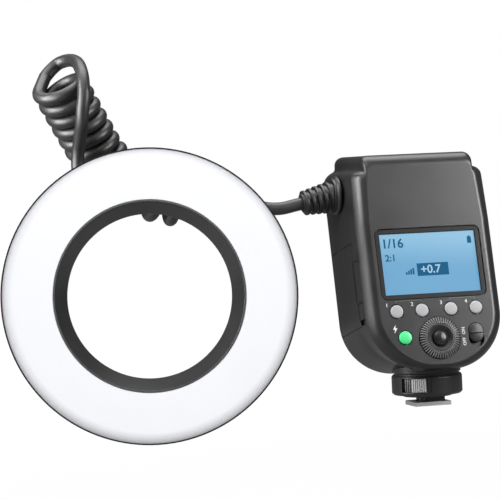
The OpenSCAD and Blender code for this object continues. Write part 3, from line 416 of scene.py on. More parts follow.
def join_meshes(name, meshes):
    bm = bmesh.new()
    for mesh in meshes:
        bm.from_mesh(mesh)
    joined = bpy.data.meshes.new(name)
    bm.to_mesh(joined)
    bm.free()
    return joined


def rounded(profile, radius, steps=4, closed=False):
    """Round the corners of a line of points; radius is one value or one for each point."""
    points = [Vector(p) for p in profile]
    radii = radius if isinstance(radius, (list, tuple)) else [radius] * len(points)
    out = []
    for i, p in enumerate(points):
        first_or_last = i in (0, len(points) - 1)
        if radii[i] <= 0 or (first_or_last and not closed):
            out.append(p)
            continue
        a = points[i - 1] - p
        b = points[(i + 1) % len(points)] - p
        reach = min(radii[i] / max(math.tan(a.angle(b) / 2), 0.05), a.length * 0.45, b.length * 0.45)
        start, end = p + a.normalized() * reach, p + b.normalized() * reach
        for k in range(steps + 1):
            f = k / steps
            out.append(start * (1 - f) ** 2 + p * 2 * f * (1 - f) + end * f ** 2)
    return [tuple(p) for p in out]


def circle(sides):
    """Cosine and sine at equal steps all the way round."""
    angles = [2 * math.pi * k / sides for k in range(sides)]
    return [(math.cos(a), math.sin(a)) for a in angles]


def ring_faces(rings, around, closed=False):
    """Faces between rings of points, each ring joined to the next."""
    faces = []
    for i in range(rings if closed else rings - 1):
        near, far = i * around, (i + 1) % rings * around
        for k in range(around):
            m = (k + 1) % around
            faces.append((near + k, near + m, far + m, far + k))
    return faces


def capped_faces(rings, around):
    """The same, with a face over the first and the last ring."""
    caps = [tuple(range(around)), tuple(range((rings - 1) * around, rings * around))]
    return caps + ring_faces(rings, around)


def lathe(profile, sides=96, closed=False):
    """Turn a profile of (radius, height) points about z."""
    verts = [(r * c, r * s, z) for r, z in profile for c, s in circle(sides)]
    return verts, ring_faces(len(profile), sides, closed)


def turned(name, profile, place, body, slot, replaces=(), sides=96, closed=False, sharp=35, finish=None):
    verts, faces = lathe(profile, sides, closed)
    return add_piece(name, build_mesh(name, verts, faces, place, sharp), body, slot, replaces, finish)


def join_shapes(*shapes):
    verts, faces = [], []
    for part_verts, part_faces in shapes:
        start = len(verts)
        verts += list(part_verts)
        faces += [tuple(i + start for i in face) for face in part_faces]
    return verts, faces


def prism(outline, z0, z1, edge=0.0):
    """Upright prism on a flat outline, with a small chamfer round its top."""
    n = len(outline)
    middle = Vector((sum(p[0] for p in outline) / n, sum(p[1] for p in outline) / n))
    rings = [(z0, 0)]
    if edge:
        rings += [(z1 - edge, 0), (z1 - edge * 0.3, edge * 0.3), (z1, edge)]
    else:
        rings += [(z1, 0)]
    verts = []
    for z, inset in rings:
        for p in outline:
            v = Vector(p[:2]) - middle
            v = v * max(1 - inset / max(v.length, 0.01), 0)
            verts.append((middle.x + v.x, middle.y + v.y, z))
    return verts, capped_faces(len(rings), n)


def cylinder(radius, z0, z1, sides=48):
    return prism([(radius * c, radius * s) for c, s in circle(sides)], z0, z1)


def round_rect(w, h, r, steps=6):
    points = []
    for cx, cy, start in ((1, 1, 0), (-1, 1, 90), (-1, -1, 180), (1, -1, 270)):
        for k in range(steps + 1):
            a = math.radians(start + 90 * k / steps)
            points.append((cx * (w / 2 - r) + r * math.cos(a), cy * (h / 2 - r) + r * math.sin(a)))
    return points


def box(x, y, z):
    verts = [(a, b, c) for a in x for b in y for c in z]
    faces = [(0, 1, 3, 2), (4, 6, 7, 5), (0, 4, 5, 1), (2, 3, 7, 6), (0, 2, 6, 4), (1, 5, 7, 3)]
    return verts, faces


def plain_mesh(obj):
    """Mesh of an object with its modifiers applied; the object itself is removed."""
    depsgraph = bpy.context.evaluated_depsgraph_get()
    mesh = bpy.data.meshes.new_from_object(obj.evaluated_get(depsgraph), depsgraph=depsgraph)
    bpy.data.objects.remove(obj)
    return mesh


def soften(obj, width):
    soft = obj.modifiers.new("soft", "BEVEL")
    soft.width = width
    soft.segments = 2
    soft.limit_method = "ANGLE"
    soft.angle_limit = math.radians(SOFT_ANGLE)


def even_normals(mesh):
    """Weigh the normals by face size, so that large flat faces shade flat."""
    obj = add_object("even", mesh)
    even = obj.modifiers.new("even", "WEIGHTED_NORMAL")
    even.keep_sharp = True
    return plain_mesh(obj)


def carve(mesh, steps, bevel_mm=0.0):
    """Cut or clip a mesh with other shapes, soften the new edges and return a plain mesh."""
    obj = add_object("carve", mesh)
    tools = []
    for operation, shape, place in steps:
        tool = add_object("tool", build_mesh("tool", *shape, place))
        tools.append(tool)
        cut = obj.modifiers.new("cut", "BOOLEAN")
        cut.operation = operation
        cut.solver = "EXACT"
        cut.object = tool
    if bevel_mm:
        soften(obj, bevel_mm * MM)
    result = plain_mesh(obj)
    for tool in tools:
        bpy.data.objects.remove(tool)
    return even_normals(smooth_mesh(result, CARVED_SHARP))


# Curly cord: one tube from the unit's gland to the ring's gland

CORD_D, CORD_SIDES, LEAD_STEPS = 6.4, 16, 6
STUB = 3
CURL_D, CURL_BEND_R = 28, 51
CURL_R = (CURL_D - CORD_D) / 2
CURL_START = Vector((-103, 25, 108))
CURL_CORNER = Vector((-141, 38, 106))
CURL_END = Vector((-177, 15, 167))
BEND_TURNS, TOP_TURNS = 7.5, 5.5
GROW_TURNS = 1.2
LAST_ANGLE = 72
UNIT_LEAD = ((-68, 16.4, 101.2), (-77, 17, 102.4), (-86, 19.2, 107.6))
HEAD_LEAD = ((-177, 31, 175), (-173, 30.5, 178), (-169, 25.5, 179), (-167, 18, 177.7), (-166.8, 10.5, 175),
             (-167, 4, 171), (-167.5, -0.5, 166), (-168, -3, 160), (-169, -3, 153.5), (-169.3, -1.2, 147.2),
             (-169.6, 3, 140.8), (-170.1, 6.9, 134.6))


def smoothstep(x):
    x = min(max(x, 0), 1)
    return x * x * (3 - 2 * x)


class CurlAxis:
    """Straight run, a bend and a straight run, measured by length."""

    def __init__(self):
        self.into = (CURL_CORNER - CURL_START).normalized()
        self.out = (CURL_END - CURL_CORNER).normalized()
        self.turn = self.into.angle(self.out)
        self.up = self.into.cross(self.out).normalized()
        tangent = CURL_BEND_R * math.tan(self.turn / 2)
        self.first = (CURL_CORNER - CURL_START).length - tangent
        self.bend = CURL_BEND_R * self.turn
        self.last = (CURL_END - CURL_CORNER).length - tangent
        self.side = self.up.cross(self.into)
        self.centre = CURL_START + self.first * self.into + CURL_BEND_R * self.side

    def angle(self, s):
        return min(max((s - self.first) / CURL_BEND_R, 0), self.turn)

    def direction(self, s):
        a = self.angle(s)
        return math.cos(a) * self.into + math.sin(a) * self.side

    def point(self, s):
        if s < self.first:
            return CURL_START + s * self.into
        if s < self.first + self.bend:
            a = self.angle(s)
            return self.centre - CURL_BEND_R * (math.cos(a) * self.side - math.sin(a) * self.into)
        return CURL_END - (self.first + self.bend + self.last - s) * self.out


def curl_path(per_turn=40):
    """Start, points and end of the curls, which grow from the axis at the unit's end."""
    axis = CurlAxis()
    turns = BEND_TURNS + TOP_TURNS
    lead = axis.first + axis.bend
    points = []
    for k in range(round(turns * per_turn) + 1):
        t = k / per_turn
        s = lead * t / BEND_TURNS if t <= BEND_TURNS else lead + axis.last * (t - BEND_TURNS) / TOP_TURNS
        a = math.radians(LAST_ANGLE - 360 * (t - turns))
        radial = math.cos(a) * axis.up + math.sin(a) * axis.direction(s).cross(axis.up)
        points.append(axis.point(s) + CURL_R * smoothstep(t / GROW_TURNS) * radial)
    begin = CURL_START - CORD_D * axis.into
    tail = points[-1] + CORD_D * (points[-1] - points[-2]).normalized()
    return begin, points, tail


def smooth_route(route, steps):
    """Straight first and last spans, and a smooth curve through the points between them."""
    out = [route[0]]
    for a, b, c, d in zip(route, route[1:], route[2:], route[3:]):
        for k in range(steps):
            f = k / steps
            out.append(0.5 * (2 * b + (c - a) * f + (2 * a - 5 * b + 4 * c - d) * f ** 2
                              + (3 * b - a - 3 * c + d) * f ** 3))
    return out + route[-2:]


def tube(path, radius, sides):
    """Round tube along a path, its rings carried on without twist."""
    n = len(path)
    tangents = [(path[min(i + 1, n - 1)] - path[max(i - 1, 0)]).normalized() for i in range(n)]
    side = tangents[0].orthogonal().normalized()
    verts = []
    for p, d in zip(path, tangents):
        side = (side - side.dot(d) * d).normalized()
        other = d.cross(side)
        verts += [p + radius * (c * side + s * other) for c, s in circle(sides)]
    return verts, capped_faces(n, sides)


GLAND_BASE = SLAB @ shift(-37.5, 22, 94.5)
GLAND_L, GLAND_DROOP = 19, 10
GLAND_AXIS = GLAND_BASE @ turn(-90 - GLAND_DROOP, "Y")
HEAD_GLAND = HEAD @ shift(-31.98, 48, -8) @ turn(-90, "X")
HEAD_GLAND_L = 12


def make_cord():
    begin, curls, tail = curl_path()
    into = (curls[0] - begin).normalized()
    onward = (tail - curls[-1]).normalized()
    unit_mouth = GLAND_AXIS @ Vector((0, 0, GLAND_L))
    head_mouth = HEAD_GLAND @ Vector((0, 0, HEAD_GLAND_L))
    unit_route = [unit_mouth, GLAND_AXIS @ Vector((0, 0, GLAND_L + STUB)), *map(Vector, UNIT_LEAD),
                  begin - STUB * into, begin]
    head_route = [tail, tail + STUB * onward, *map(Vector, HEAD_LEAD),
                  HEAD_GLAND @ Vector((0, 0, HEAD_GLAND_L + 2 * STUB)), head_mouth]
    path = smooth_route(unit_route, LEAD_STEPS) + curls + smooth_route(head_route, LEAD_STEPS)
    mesh = build_mesh("curly_cord", *tube(path, CORD_D / 2, CORD_SIDES))
    cord = add_piece("curly_cord", mesh, None, "cord_rubber")
    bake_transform(cord)
    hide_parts("cord_unit_lead", "cord_curls", "cord_head_lead")
    length = sum((b - a).length for a, b in zip(path, path[1:]))
    [tuple(p * MM) for p in path]


make_cord()


# Shells of the control unit: outlines are rounds joined by tangents, drawn at each depth t

BODY_HW, FACE_HW, CROWN_HW = 37.5, 29, 27.3
CROWN_Z, SHOULDER_Z, BODY_D, WALL = 125.5, 118, 44.5, 2
PARTING_T, CHIN_T, EDGE_T, FLARE_T = 6, 14, 20, 38
FLARE, SHOULDER_IN, CROWN_EDGE, CROWN_FLARE = 1.2, 1.2, 1.6, 3.3
FACE_TOP, MID_S, MID_R, SHOULDER_R = 102.8, 75, 12, 4.5
BACK_ROUND, CROWN_ROUND, FILLET, LEAST_R, LEAST_COS = 6, 9, 2.2, 0.3, 0.02
OUTLINE_POINTS, NORMAL_COUNT, OUTLINE_S = 480, 720, 85
AROUND = np.arange(OUTLINE_POINTS) * 2 * math.pi / OUTLINE_POINTS
NORMALS = np.arange(NORMAL_COUNT) * 2 * math.pi / NORMAL_COUNT


def level_s(z, t):
    """Height up the leaning slab of a point at height z and depth t."""
    lean = math.radians(LEAN)
    return (z - SLAB_Z + t * math.sin(lean)) / math.cos(lean)


def eased(t, depth):
    """Quarter round: 0 at the face, 1 at a given depth behind it."""
    u = min(max(t / depth, 0), 1)
    return math.sqrt(u * (2 - u))


def wide_corners(t):
    """Rounds of the wide body at depth t: centre, height and radius."""
    front = FACE_HW + (BODY_HW - FACE_HW) * eased(min(t, PARTING_T), EDGE_T)
    half = np.interp(t, (PARTING_T, EDGE_T, FLARE_T), (front, BODY_HW, BODY_HW + FLARE))
    low_r = np.interp(t, (0, PARTING_T, CHIN_T, FLARE_T), (27, 29, 28, 26))
    low = np.interp(t, (PARTING_T, CHIN_T, FLARE_T), (0, 3.5, 5)) + 2 * (1 - eased(t, PARTING_T))
    top_r = np.interp(t, (EDGE_T, FLARE_T), (SHOULDER_R, 8))
    shoulder = half - SHOULDER_IN * (1 - smoothstep(t / CHIN_T)) - top_r
    return np.array([(half - low_r, low + low_r, low_r), (half - MID_R, MID_S, MID_R),
                     (shoulder, level_s(SHOULDER_Z, t) - top_r, top_r)])


def crown_corners(t):
    front = eased(t, PARTING_T)
    half = CROWN_HW + CROWN_EDGE * front + np.interp(t, (0, FLARE_T), (0, CROWN_FLARE))
    top = FACE_TOP + (level_s(CROWN_Z, max(t, PARTING_T)) - FACE_TOP) * front
    r = 2.5 + 2 * front
    return np.array([(half - MID_R, MID_S, MID_R), (half - r, top - r, r)])


def support(corners, inset=0.0):
    """Reach of an outline along each normal, from the point on the mid line at OUTLINE_S."""
    across, up = np.abs(np.cos(NORMALS)), np.sin(NORMALS)
    reach = []
    for x, s, r in corners:
        over = max(inset - r + LEAST_R, 0)
        centre_s = s - over * (s > OUTLINE_S)
        reach.append(across * (x - over) + up * (centre_s - OUTLINE_S) + max(r - inset, LEAST_R))
    return np.max(reach, axis=0)


def outline_radius(reach):
    """Distance from that point to the outline, all the way round."""
    lean = np.cos(NORMALS[None, :] - AROUND[:, None])
    away = np.where(lean > LEAST_COS, reach[None, :] / np.maximum(lean, LEAST_COS), np.inf)
    return away.min(axis=1)


def back_inset(t, back, reach):
    """How far the round at the back has drawn the outline in at depth t."""
    u = min(max(t - back + reach, 0) / reach, 1)
    return (reach - 0.5) * (1 - math.sqrt(1 - u * u))


def shell_radius(t, inset=0.0, back=BODY_D):
    """Outline at depth t: the wide body and the crown, with a soft join between them."""
    a = outline_radius(support(wide_corners(t), inset + back_inset(t, back, BACK_ROUND)))
    b = outline_radius(support(crown_corners(t), inset + back_inset(t, back, CROWN_ROUND)))
    soft = FILLET * smoothstep(t / 8) * np.clip(np.sin(AROUND) * 1.5, 0, 1)
    return (a + b + np.sqrt((a - b) ** 2 + soft ** 2)) / 2


def ring_points(t, radius):
    return [(r * math.cos(a), t, OUTLINE_S + r * math.sin(a)) for r, a in zip(radius, AROUND)]


def loft(rings):
    return [p for ring in rings for p in ring], capped_faces(len(rings), OUTLINE_POINTS)


def front_rings(t0, inset, steps):
    depths = [PARTING_T * (1 - math.cos(a)) for a in np.radians(np.linspace(0, 90, steps))]
    return [ring_points(t0 + t * (1 - t0 / PARTING_T), shell_radius(t, inset)) for t in depths]


def rear_rings(inset, depths=None):
    back = BODY_D - inset
    depths = depths or [t for t in DEPTHS if t < back] + [back]
    return [ring_points(t, shell_radius(t, inset, back)) for t in depths]


# Depths of the rear shell's rings, closer where it curves
DEPTHS = [6, 6.8, 7.6, 8.6, 10, 11.2, 12.4, 13.6, 14.8, 16, 17.5, 20, 25, 30, 33, 35, 36.5, 37.5, 38.5,
          39.5, 40.4, 41.2, 42, 42.7, 43.3, 43.8, 44.15, 44.4, 44.5]
INNER_DEPTHS = [6, 7.5, 10, 12.5, 15, 18, 25, 33, 37, 39, 40.5, 41.5, 42.1, 42.4, 42.5]
BUTTONS = {"mode_button": (-20.5, 29.2), "lamp_button": (-7.5, 29.2), "menu_button": (7.5, 29.2),
           "ratio_button": (20.5, 29.2), "test_button": (-17.7, 16)}
BUTTON_R, BUTTON_HOLE_R, GAP, RUN = 3.2, 3.75, 0.25, 0.1
DIAL_S, DIAL_R, HUB_R, SET_R = 14.9, 10.5, 5.4, 3.8
SWITCH_X, SWITCH_S, SWITCH_W, SWITCH_H, SWITCH_TRAVEL = 18.9, 15.6, 8, 12.2, 2.2
PANE_S, PANE_W, PANE_H, PANE_GAP, LCD_W, LCD_H = 53.1, 54, 35.2, 0.45, 49.8, 31
PACK_X, PACK_T, PACK_S, DOOR_T, DOOR_LAP = (-34.6, 30), (12.5, 38), (25.5, 66.5), 3, 0.5
CELL_S, CELL_R, CELL_L = (36.3, 55.7), 9.2, 62.1
TONGUE_T, TONGUE_S = 6.6, (37, 57.5)
LATCH_T, LATCH_S, LATCH_TRAVEL = (7, 11.5), (28, 36), 2.5
INNER_DEPTH, SHELL_EDGE = 6.5, 0.25
SCREWS, SCREW_HOLE_R = ((-19, 18), (19, 18), (-22, 99), (22, 99)), 2.5
WINDOW_S, WINDOW_HOLE, WINDOW_DEPTH, NECK_HOLE_R = 72, (22.1, 13.1), 1.6, 17.1
LATCH_SKIN, POCKET_FLOOR = 1.3, (1.5, 2.2)
# From behind the front wall to before the face, and how far a box for a cut stands out of the side
THROUGH, OUTSIDE = (-4, 2), 3


def widened(span, by):
    return span[0] - by, span[1] + by


LATCH_SLOT = (widened(LATCH_T, GAP), widened((LATCH_S[0] - LATCH_TRAVEL, LATCH_S[1]), GAP))


def side_box(depth, t, s):
    """Box through the left side of the unit, down to a given depth."""
    return box((-BODY_HW - OUTSIDE, -BODY_HW + depth), t, s)


def on_back(x, s):
    """Frame on the back of the unit: z out of it."""
    return SLAB @ shift(x, BODY_D, s) @ turn(-90, "X")


def make_face_cover():
    outer = front_rings(0, 0, 18)
    inner = front_rings(WALL, WALL, 8)
    mesh = build_mesh("front_cover", *loft(outer + inner[::-1]), SLAB)
    pane = prism(round_rect(PANE_W + 2 * PANE_GAP, PANE_H + 2 * PANE_GAP, 3.4), -1.6, 2)
    window = box((-LCD_W / 2, LCD_W / 2), (-LCD_H / 2, LCD_H / 2), (-4, 1))
    slot = prism(round_rect(SWITCH_W, SWITCH_H, SWITCH_W / 2 - 0.01, 12), *THROUGH)
    cuts = [(CUT, pane, on_face(0, PANE_S)), (CUT, window, on_face(0, PANE_S))]
    cuts += [(CUT, cylinder(BUTTON_HOLE_R, *THROUGH), on_face(x, s)) for x, s in BUTTONS.values()]
    cuts += [(CUT, cylinder(DIAL_R + GAP, -0.8, 2, 96), on_face(0, DIAL_S)),
             (CUT, cylinder(HUB_R + RUN, *THROUGH), on_face(0, DIAL_S)),
             (CUT, slot, on_face(SWITCH_X, SWITCH_S))]
    add_piece("front_cover", carve(mesh, cuts, 0.22), "control_unit", "body_charcoal", ["face_cover"])


def door_shapes(grow):
    main = side_box(DOOR_T + grow, widened(PACK_T, grow + DOOR_LAP), widened(PACK_S, grow + DOOR_LAP))
    tongue = side_box(INNER_DEPTH + grow, (TONGUE_T - grow, PACK_T[0] + 1), widened(TONGUE_S, grow))
    return main, tongue


def rear_form(inset=0.0):
    return build_mesh("rear_form", *loft(rear_rings(inset)), SLAB)


def make_rear_shell():
    rings = rear_rings(0)[::-1] + rear_rings(WALL, INNER_DEPTHS)
    mesh = build_mesh("rear_cover", *loft(rings), SLAB)
    window = prism(round_rect(*WINDOW_HOLE, 2), -WINDOW_DEPTH, 2)
    cuts = [(CUT, window, on_back(0, WINDOW_S)), (CUT, cylinder(NECK_HOLE_R, -5, 60), UPRIGHT)]
    cuts += [(CUT, cylinder(SCREW_HOLE_R, -1.5, 3, 32), on_back(x, s)) for x, s in SCREWS]
    latch = side_box(INNER_DEPTH + GAP, *LATCH_SLOT)
    cuts += [(CUT, shape, SLAB) for shape in (*door_shapes(GAP), latch)]
    add_piece("rear_cover", carve(mesh, cuts, SHELL_EDGE), "control_unit", "body_charcoal", ["rear_shell"])


def make_battery_pack():
    door_and_tab = [carve(rear_form(), [(KEEP, shape, SLAB)], SHELL_EDGE) for shape in door_shapes(0)]
    ends = [SLAB @ shift(PACK_X[1], sum(PACK_T) / 2, s) @ turn(90, "Y") for s in CELL_S]
    bores = [(CUT, cylinder(CELL_R, -CELL_L, 2), end) for end in ends]
    block = carve(build_mesh("block", *box(PACK_X, PACK_T, PACK_S), SLAB), bores, 0.4)
    joined = smooth_mesh(join_meshes("battery_pack_case", (*door_and_tab, block)), CARVED_SHARP)
    add_piece("battery_pack_case", joined, "battery_pack", "body_charcoal", ["battery_case"])


def make_battery_latch():
    """A thin slide over a shallow pocket in the rear shell."""
    core = loft(rear_rings(LATCH_SKIN))
    slide = [(KEEP, side_box(INNER_DEPTH, LATCH_T, LATCH_S), SLAB), (CUT, core, SLAB)]
    mesh = carve(rear_form(), slide, SHELL_EDGE)
    add_piece("battery_door_latch", mesh, "battery_latch", "black_plastic", ["battery_latch"])
    top, bottom = POCKET_FLOOR
    pocket = [(KEEP, side_box(INNER_DEPTH, *LATCH_SLOT), SLAB), (CUT, loft(rear_rings(bottom)), SLAB)]
    add_piece("latch_pocket", carve(rear_form(top), pocket), "control_unit", "body_charcoal")


make_face_cover()
make_rear_shell()
make_battery_pack()
make_battery_latch()


# Controls on the front face

CAP_H = 0.9


def make_buttons():
    flange = [(BUTTON_R, -2.25), (BUTTON_R + 1, -2.25), (BUTTON_R + 1, -2.95)]
    stem = [(1.2, -2.95), (1.2, -3.5), (ON_AXIS, -3.5)]
    for name, (x, s) in BUTTONS.items():
        dome, slot = (0.3, "button_green") if name == "test_button" else (0.15, "button_grey")
        top = [(ON_AXIS, CAP_H + dome), (BUTTON_R * 0.55, CAP_H + dome * 0.75), (BUTTON_R - 0.35, CAP_H),
               (BUTTON_R, 0.6)]
        profile = rounded(top, [0, 1.5, 0.3, 0.2]) + flange + stem
        turned(name + "_cap", profile, on_face(x, s), name, slot, [name], 64)
    cap = [(ON_AXIS, 2.1), (SET_R * 0.6, 1.9), (SET_R - 0.3, 1.4), (SET_R, 1.0), (SET_R, -0.6), (2.4, -0.6),
           (2.4, -3.5), (ON_AXIS, -3.5)]
    turned("set_button_cap", rounded(cap, [0, 2, 0.4, 0.3, 0.1, 0, 0, 0]), on_face(0, DIAL_S), "set_button",
           "body_charcoal", ["set_button"], 64, finish=GLOSS_DARK)


def rib_tree():
    """Geometry nodes: bars set round an arc, turned to face out and tipped with the slope."""
    tree = bpy.data.node_groups.new("ribs_round_an_arc", "GeometryNodeTree")
    tree.interface.new_socket("Geometry", in_out="OUTPUT", socket_type="NodeSocketGeometry")
    inputs = {}
    for name, kind in (("Count", "Int"), ("Radius", "Float"), ("Height", "Float"), ("Start", "Float"),
                       ("Span", "Float"), ("Tip", "Float"), ("Bar", "Vector"), ("Finish", "Material")):
        socket = tree.interface.new_socket(name, in_out="INPUT", socket_type="NodeSocket" + kind)
        inputs[name] = socket.identifier
    ribs = Nodes(tree)
    entry = tree.nodes.new("NodeGroupInput")
    given = {name: Socket(tree, entry.outputs[name]) for name in inputs}
    angle = given["Start"] + given["Span"] * (ribs.node("GeometryNodeInputIndex") / given["Count"])
    place = ribs.node("ShaderNodeCombineXYZ", X=given["Radius"] * angle.math("COSINE"),
                      Y=given["Radius"] * angle.math("SINE"), Z=given["Height"])
    points = ribs.node("GeometryNodePoints", Count=given["Count"], Position=place)
    euler = ribs.node("ShaderNodeCombineXYZ", Y=given["Tip"], Z=angle)
    vector = {"data_type": "FLOAT_VECTOR"}
    stored = ribs.node("GeometryNodeStoreNamedAttribute", vector, Geometry=points, Name="heading",
                       Value=euler)
    heading = ribs.node("GeometryNodeInputNamedAttribute", vector, Name="heading")
    copies = ribs.node("GeometryNodeInstanceOnPoints", Points=stored,
                       Instance=ribs.node("GeometryNodeMeshCube", Size=given["Bar"]),
                       Rotation=ribs.node("FunctionNodeEulerToRotation", Euler=heading))
    real = ribs.node("GeometryNodeRealizeInstances", Geometry=copies)
    finished = ribs.node("GeometryNodeSetMaterial", Geometry=real, Material=given["Finish"])
    ribs.feed(tree.nodes.new("NodeGroupOutput").inputs["Geometry"], finished)
    return tree, inputs


RIB_TREE, RIB_INPUTS = rib_tree()


def rib_mesh(place, finish, edge_mm=0.12, **values):
    """Run the rib tree once, soften its bars and move them to their place."""
    holder = add_object("ribs", bpy.data.meshes.new("ribs"))
    ribs = holder.modifiers.new("ribs", "NODES")
    ribs.node_group = RIB_TREE
    full_ring = {"Start": 0.0, "Span": 2 * math.pi, "Tip": 0.0}
    for name, value in {**full_ring, **values, "Finish": finish}.items():
        ribs[RIB_INPUTS[name]] = value
    soften(holder, edge_mm)
    mesh = plain_mesh(holder)
    mesh.transform(Matrix.Scale(MM, 4) @ place)
    return smooth_mesh(mesh, 50)


def make_dial():
    place = on_face(0, DIAL_S)
    body = [(4.0, 0.3), (6.3, 1.5), (6.8, 1.4), (9.8, 0.3), (10.2, 0.1), (10.2, -0.7), (HUB_R, -0.7),
            (HUB_R, -3.8), (2.6, -3.8), (2.6, -1.2), (4.0, -1.2)]
    turned("dial_body", rounded(body, [0.2, 0.2, 0.1, 0.3, 0.3, 0, 0, 0, 0, 0, 0.1], closed=True), place,
           "control_dial", "black_plastic", ["control_dial"], 96, closed=True)
    # The ribs are painted lighter than the dial body, as a painted highlight on their tops
    top = rib_mesh(place, RIB_GREY_PAINTED_LIT, Count=48, Radius=8.45, Height=1.15, Tip=math.radians(18),
                   Bar=(3.3, 0.5, 1.2))
    rim = rib_mesh(place, RIB_GREY_PAINTED_LIT, Count=48, Radius=10.0, Height=0.1, Bar=(0.8, 0.6, 1.4))
    add_piece("dial_ribs", top, "control_dial", "body_charcoal", finish=RIB_GREY_PAINTED_LIT)
    add_piece("dial_rim_ribs", rim, "control_dial", "body_charcoal", finish=RIB_GREY_PAINTED_LIT)


def make_power_switch():
    knob_h, knob_w = SWITCH_H - SWITCH_TRAVEL - 2 * RUN, SWITCH_W - 2 * RUN
    knob_s = SWITCH_S + (SWITCH_H - knob_h) / 2 - RUN
    knob = prism(round_rect(knob_w, knob_h, knob_w / 2 - 0.01, 12), -2.2, 0.5, 0.6)
    ridge = prism(round_rect(knob_w - 1.2, 1, 0.3), 0.2, 1, 0.25)
    plate = prism(round_rect(knob_w + 1.2, knob_h + 2 * SWITCH_TRAVEL + 1, 0.5), -2.9, -2.2)
    stem = box((-1, 1), (-1, 1), (-3.8, -2.9))
    shape = join_shapes(knob, ridge, plate, stem)
    mesh = build_mesh("power_knob", *shape, on_face(SWITCH_X, knob_s))
    add_piece("power_knob", mesh, "power_switch", "black_plastic", ["power_switch"])


make_buttons()
make_dial()
make_power_switch()


# Foot, collar and neck

COLLAR_R, COLLAR_Z, COLLAR_TOP = 17.65, 5.5, 15.5
TAB_ANGLE, TAB_SPAN, TAB_R, LEVER_TURN, SHUTTER_SPAN = -31, 23, 18.1, 20, 70
# Each contact under the foot: x, y and radius
SHOE_CONTACTS = ((0, 0, 1.2), (-3.8, 3.7, 0.8), (3.8, 3.7, 0.8), (-3.8, -3.7, 0.8), (3.8, -3.7, 0.8))
CONTACT_H = 1.9


def sector(r0, r1, angle, span, z0, z1, steps=24):
    points = []
    for r, way in ((r1, 1), (r0, -1)):
        for k in range(steps + 1):
            a = math.radians(angle - 90 + way * span * (k / steps - 0.5))
            points.append((r * math.cos(a), r * math.sin(a)))
    return prism(points, z0, z1)


def shift_shape(shape, x, y):
    return [(a + x, b + y, c) for a, b, c in shape[0]], shape[1]


def make_collar():
    neck = [(ON_AXIS, 17.5), (14, 17.5), (14, 25), (17, 25), (17, 16.6), (16.2, 16.3), (16.2, COLLAR_TOP),
            (ON_AXIS, COLLAR_TOP)]
    turned("neck_sleeve", rounded(neck, [0, 0, 0.3, 0.3, 0.3, 0.2, 0, 0]), UPRIGHT, "control_unit",
           "black_plastic", ["neck_ring"], 128, finish=FINISH["body_charcoal"])
    outer = [(ON_AXIS, 4.5), (12.2, 4.5), (12.3, 5.5), (COLLAR_R - 1, COLLAR_Z), (COLLAR_R, COLLAR_Z + 1),
             (COLLAR_R, COLLAR_TOP - 1), (COLLAR_R - 0.7, COLLAR_TOP), (16.35, COLLAR_TOP), (16.35, 7.1),
             (4.9, 7.1), (4.9, 12.5), (ON_AXIS, 12.5)]
    shape = rounded(outer, [0, 0.2, 0, 0.5, 0.8, 0.6, 0.4, 0, 0, 0, 0, 0])
    window = sector(14, 20, TAB_ANGLE - LEVER_TURN / 2, TAB_SPAN + LEVER_TURN + 2, 7.4, 14.3)
    groove = sector(COLLAR_R - 0.35, 20, TAB_ANGLE + TAB_SPAN / 2 + 8, 1.3, 7.2, 14.3)
    cuts = [(CUT, window, UPRIGHT), (CUT, groove, UPRIGHT)]
    mesh = carve(build_mesh("lock_collar", *lathe(shape, 160)), cuts, 0.15)
    add_piece("lock_collar", mesh, "control_unit", "body_charcoal", ["foot_collar"])


def make_lock_lever():
    """Ribbed tab on a disc, and the ribbed shutter that fills the collar's window."""
    tab = sector(15.15, TAB_R, TAB_ANGLE, TAB_SPAN, 7.6, 14.1)
    disc = [(5.0, 9.4), (15.35, 9.4), (15.35, 12.1), (5.0, 12.1)]
    mesh = build_mesh("lock_lever_tab", *join_shapes(tab, lathe(disc, 96, closed=True)))
    add_piece("lock_lever_tab", mesh, "lock_lever", "lever_grey", ["lock_lever"])
    start = math.radians(TAB_ANGLE - 90 - TAB_SPAN / 2 + 1.6)
    ribs = rib_mesh(UPRIGHT, FINISH["lever_grey"], 0.15, Count=7, Radius=TAB_R, Height=10.85, Start=start,
                    Span=math.radians(TAB_SPAN - 0.2), Bar=(0.7, 0.55, 6.3))
    add_piece("lock_lever_ribs", ribs, "lock_lever", "lever_grey")
    # The shutter and its ribs are painted darker than the lever's tab, as painted shade in the collar's
    # window
    mesh = build_mesh("lock_shutter", *sector(14.75, 15.75, TAB_ANGLE, SHUTTER_SPAN, 7.4, 15.1))
    add_piece("lock_shutter", mesh, "lock_lever", "lever_grey", finish=SHUTTER_GREY_PAINTED_SHADE)
    start = math.radians(TAB_ANGLE - 90 - SHUTTER_SPAN / 2 + 2)
    ribs = rib_mesh(UPRIGHT, SHUTTER_GREY_PAINTED_SHADE, Count=16, Radius=15.8, Height=11.2, Start=start,
                    Span=math.radians(SHUTTER_SPAN), Bar=(0.7, 0.75, 7.4))
    add_piece("lock_shutter_ribs", ribs, "lock_lever", "lever_grey", finish=SHUTTER_GREY_PAINTED_SHADE)


def make_shoe_contacts():
    pins = [shift_shape(cylinder(r, 0, CONTACT_H, 24), x, y) for x, y, r in SHOE_CONTACTS]
    mesh = build_mesh("shoe_contacts", *join_shapes(*pins))
    add_piece("shoe_contacts", mesh, "control_unit", "gold_contact", ["contact_pins"])


make_collar()
make_lock_lever()
make_shoe_contacts()


# Glands at the two ends of the cord

def gland_profile(r0, r1, length, ribs, depth=1.4):
    """Tapered sleeve with narrow ribs."""
    pitch = length / ribs
    points = [(ON_AXIS, 0), (r0 - depth, 0)]
    for i in range(ribs):
        r = r0 + (r1 - r0) * i / (ribs - 1)
        low, high = (i + 0.2) * pitch, (i + 0.7) * pitch
        points += [(r - depth, low), (r, low), (r, high), (r - depth, high)]
    return rounded(points + [(r1 - depth - 0.1, length), (ON_AXIS, length)], 0.4)


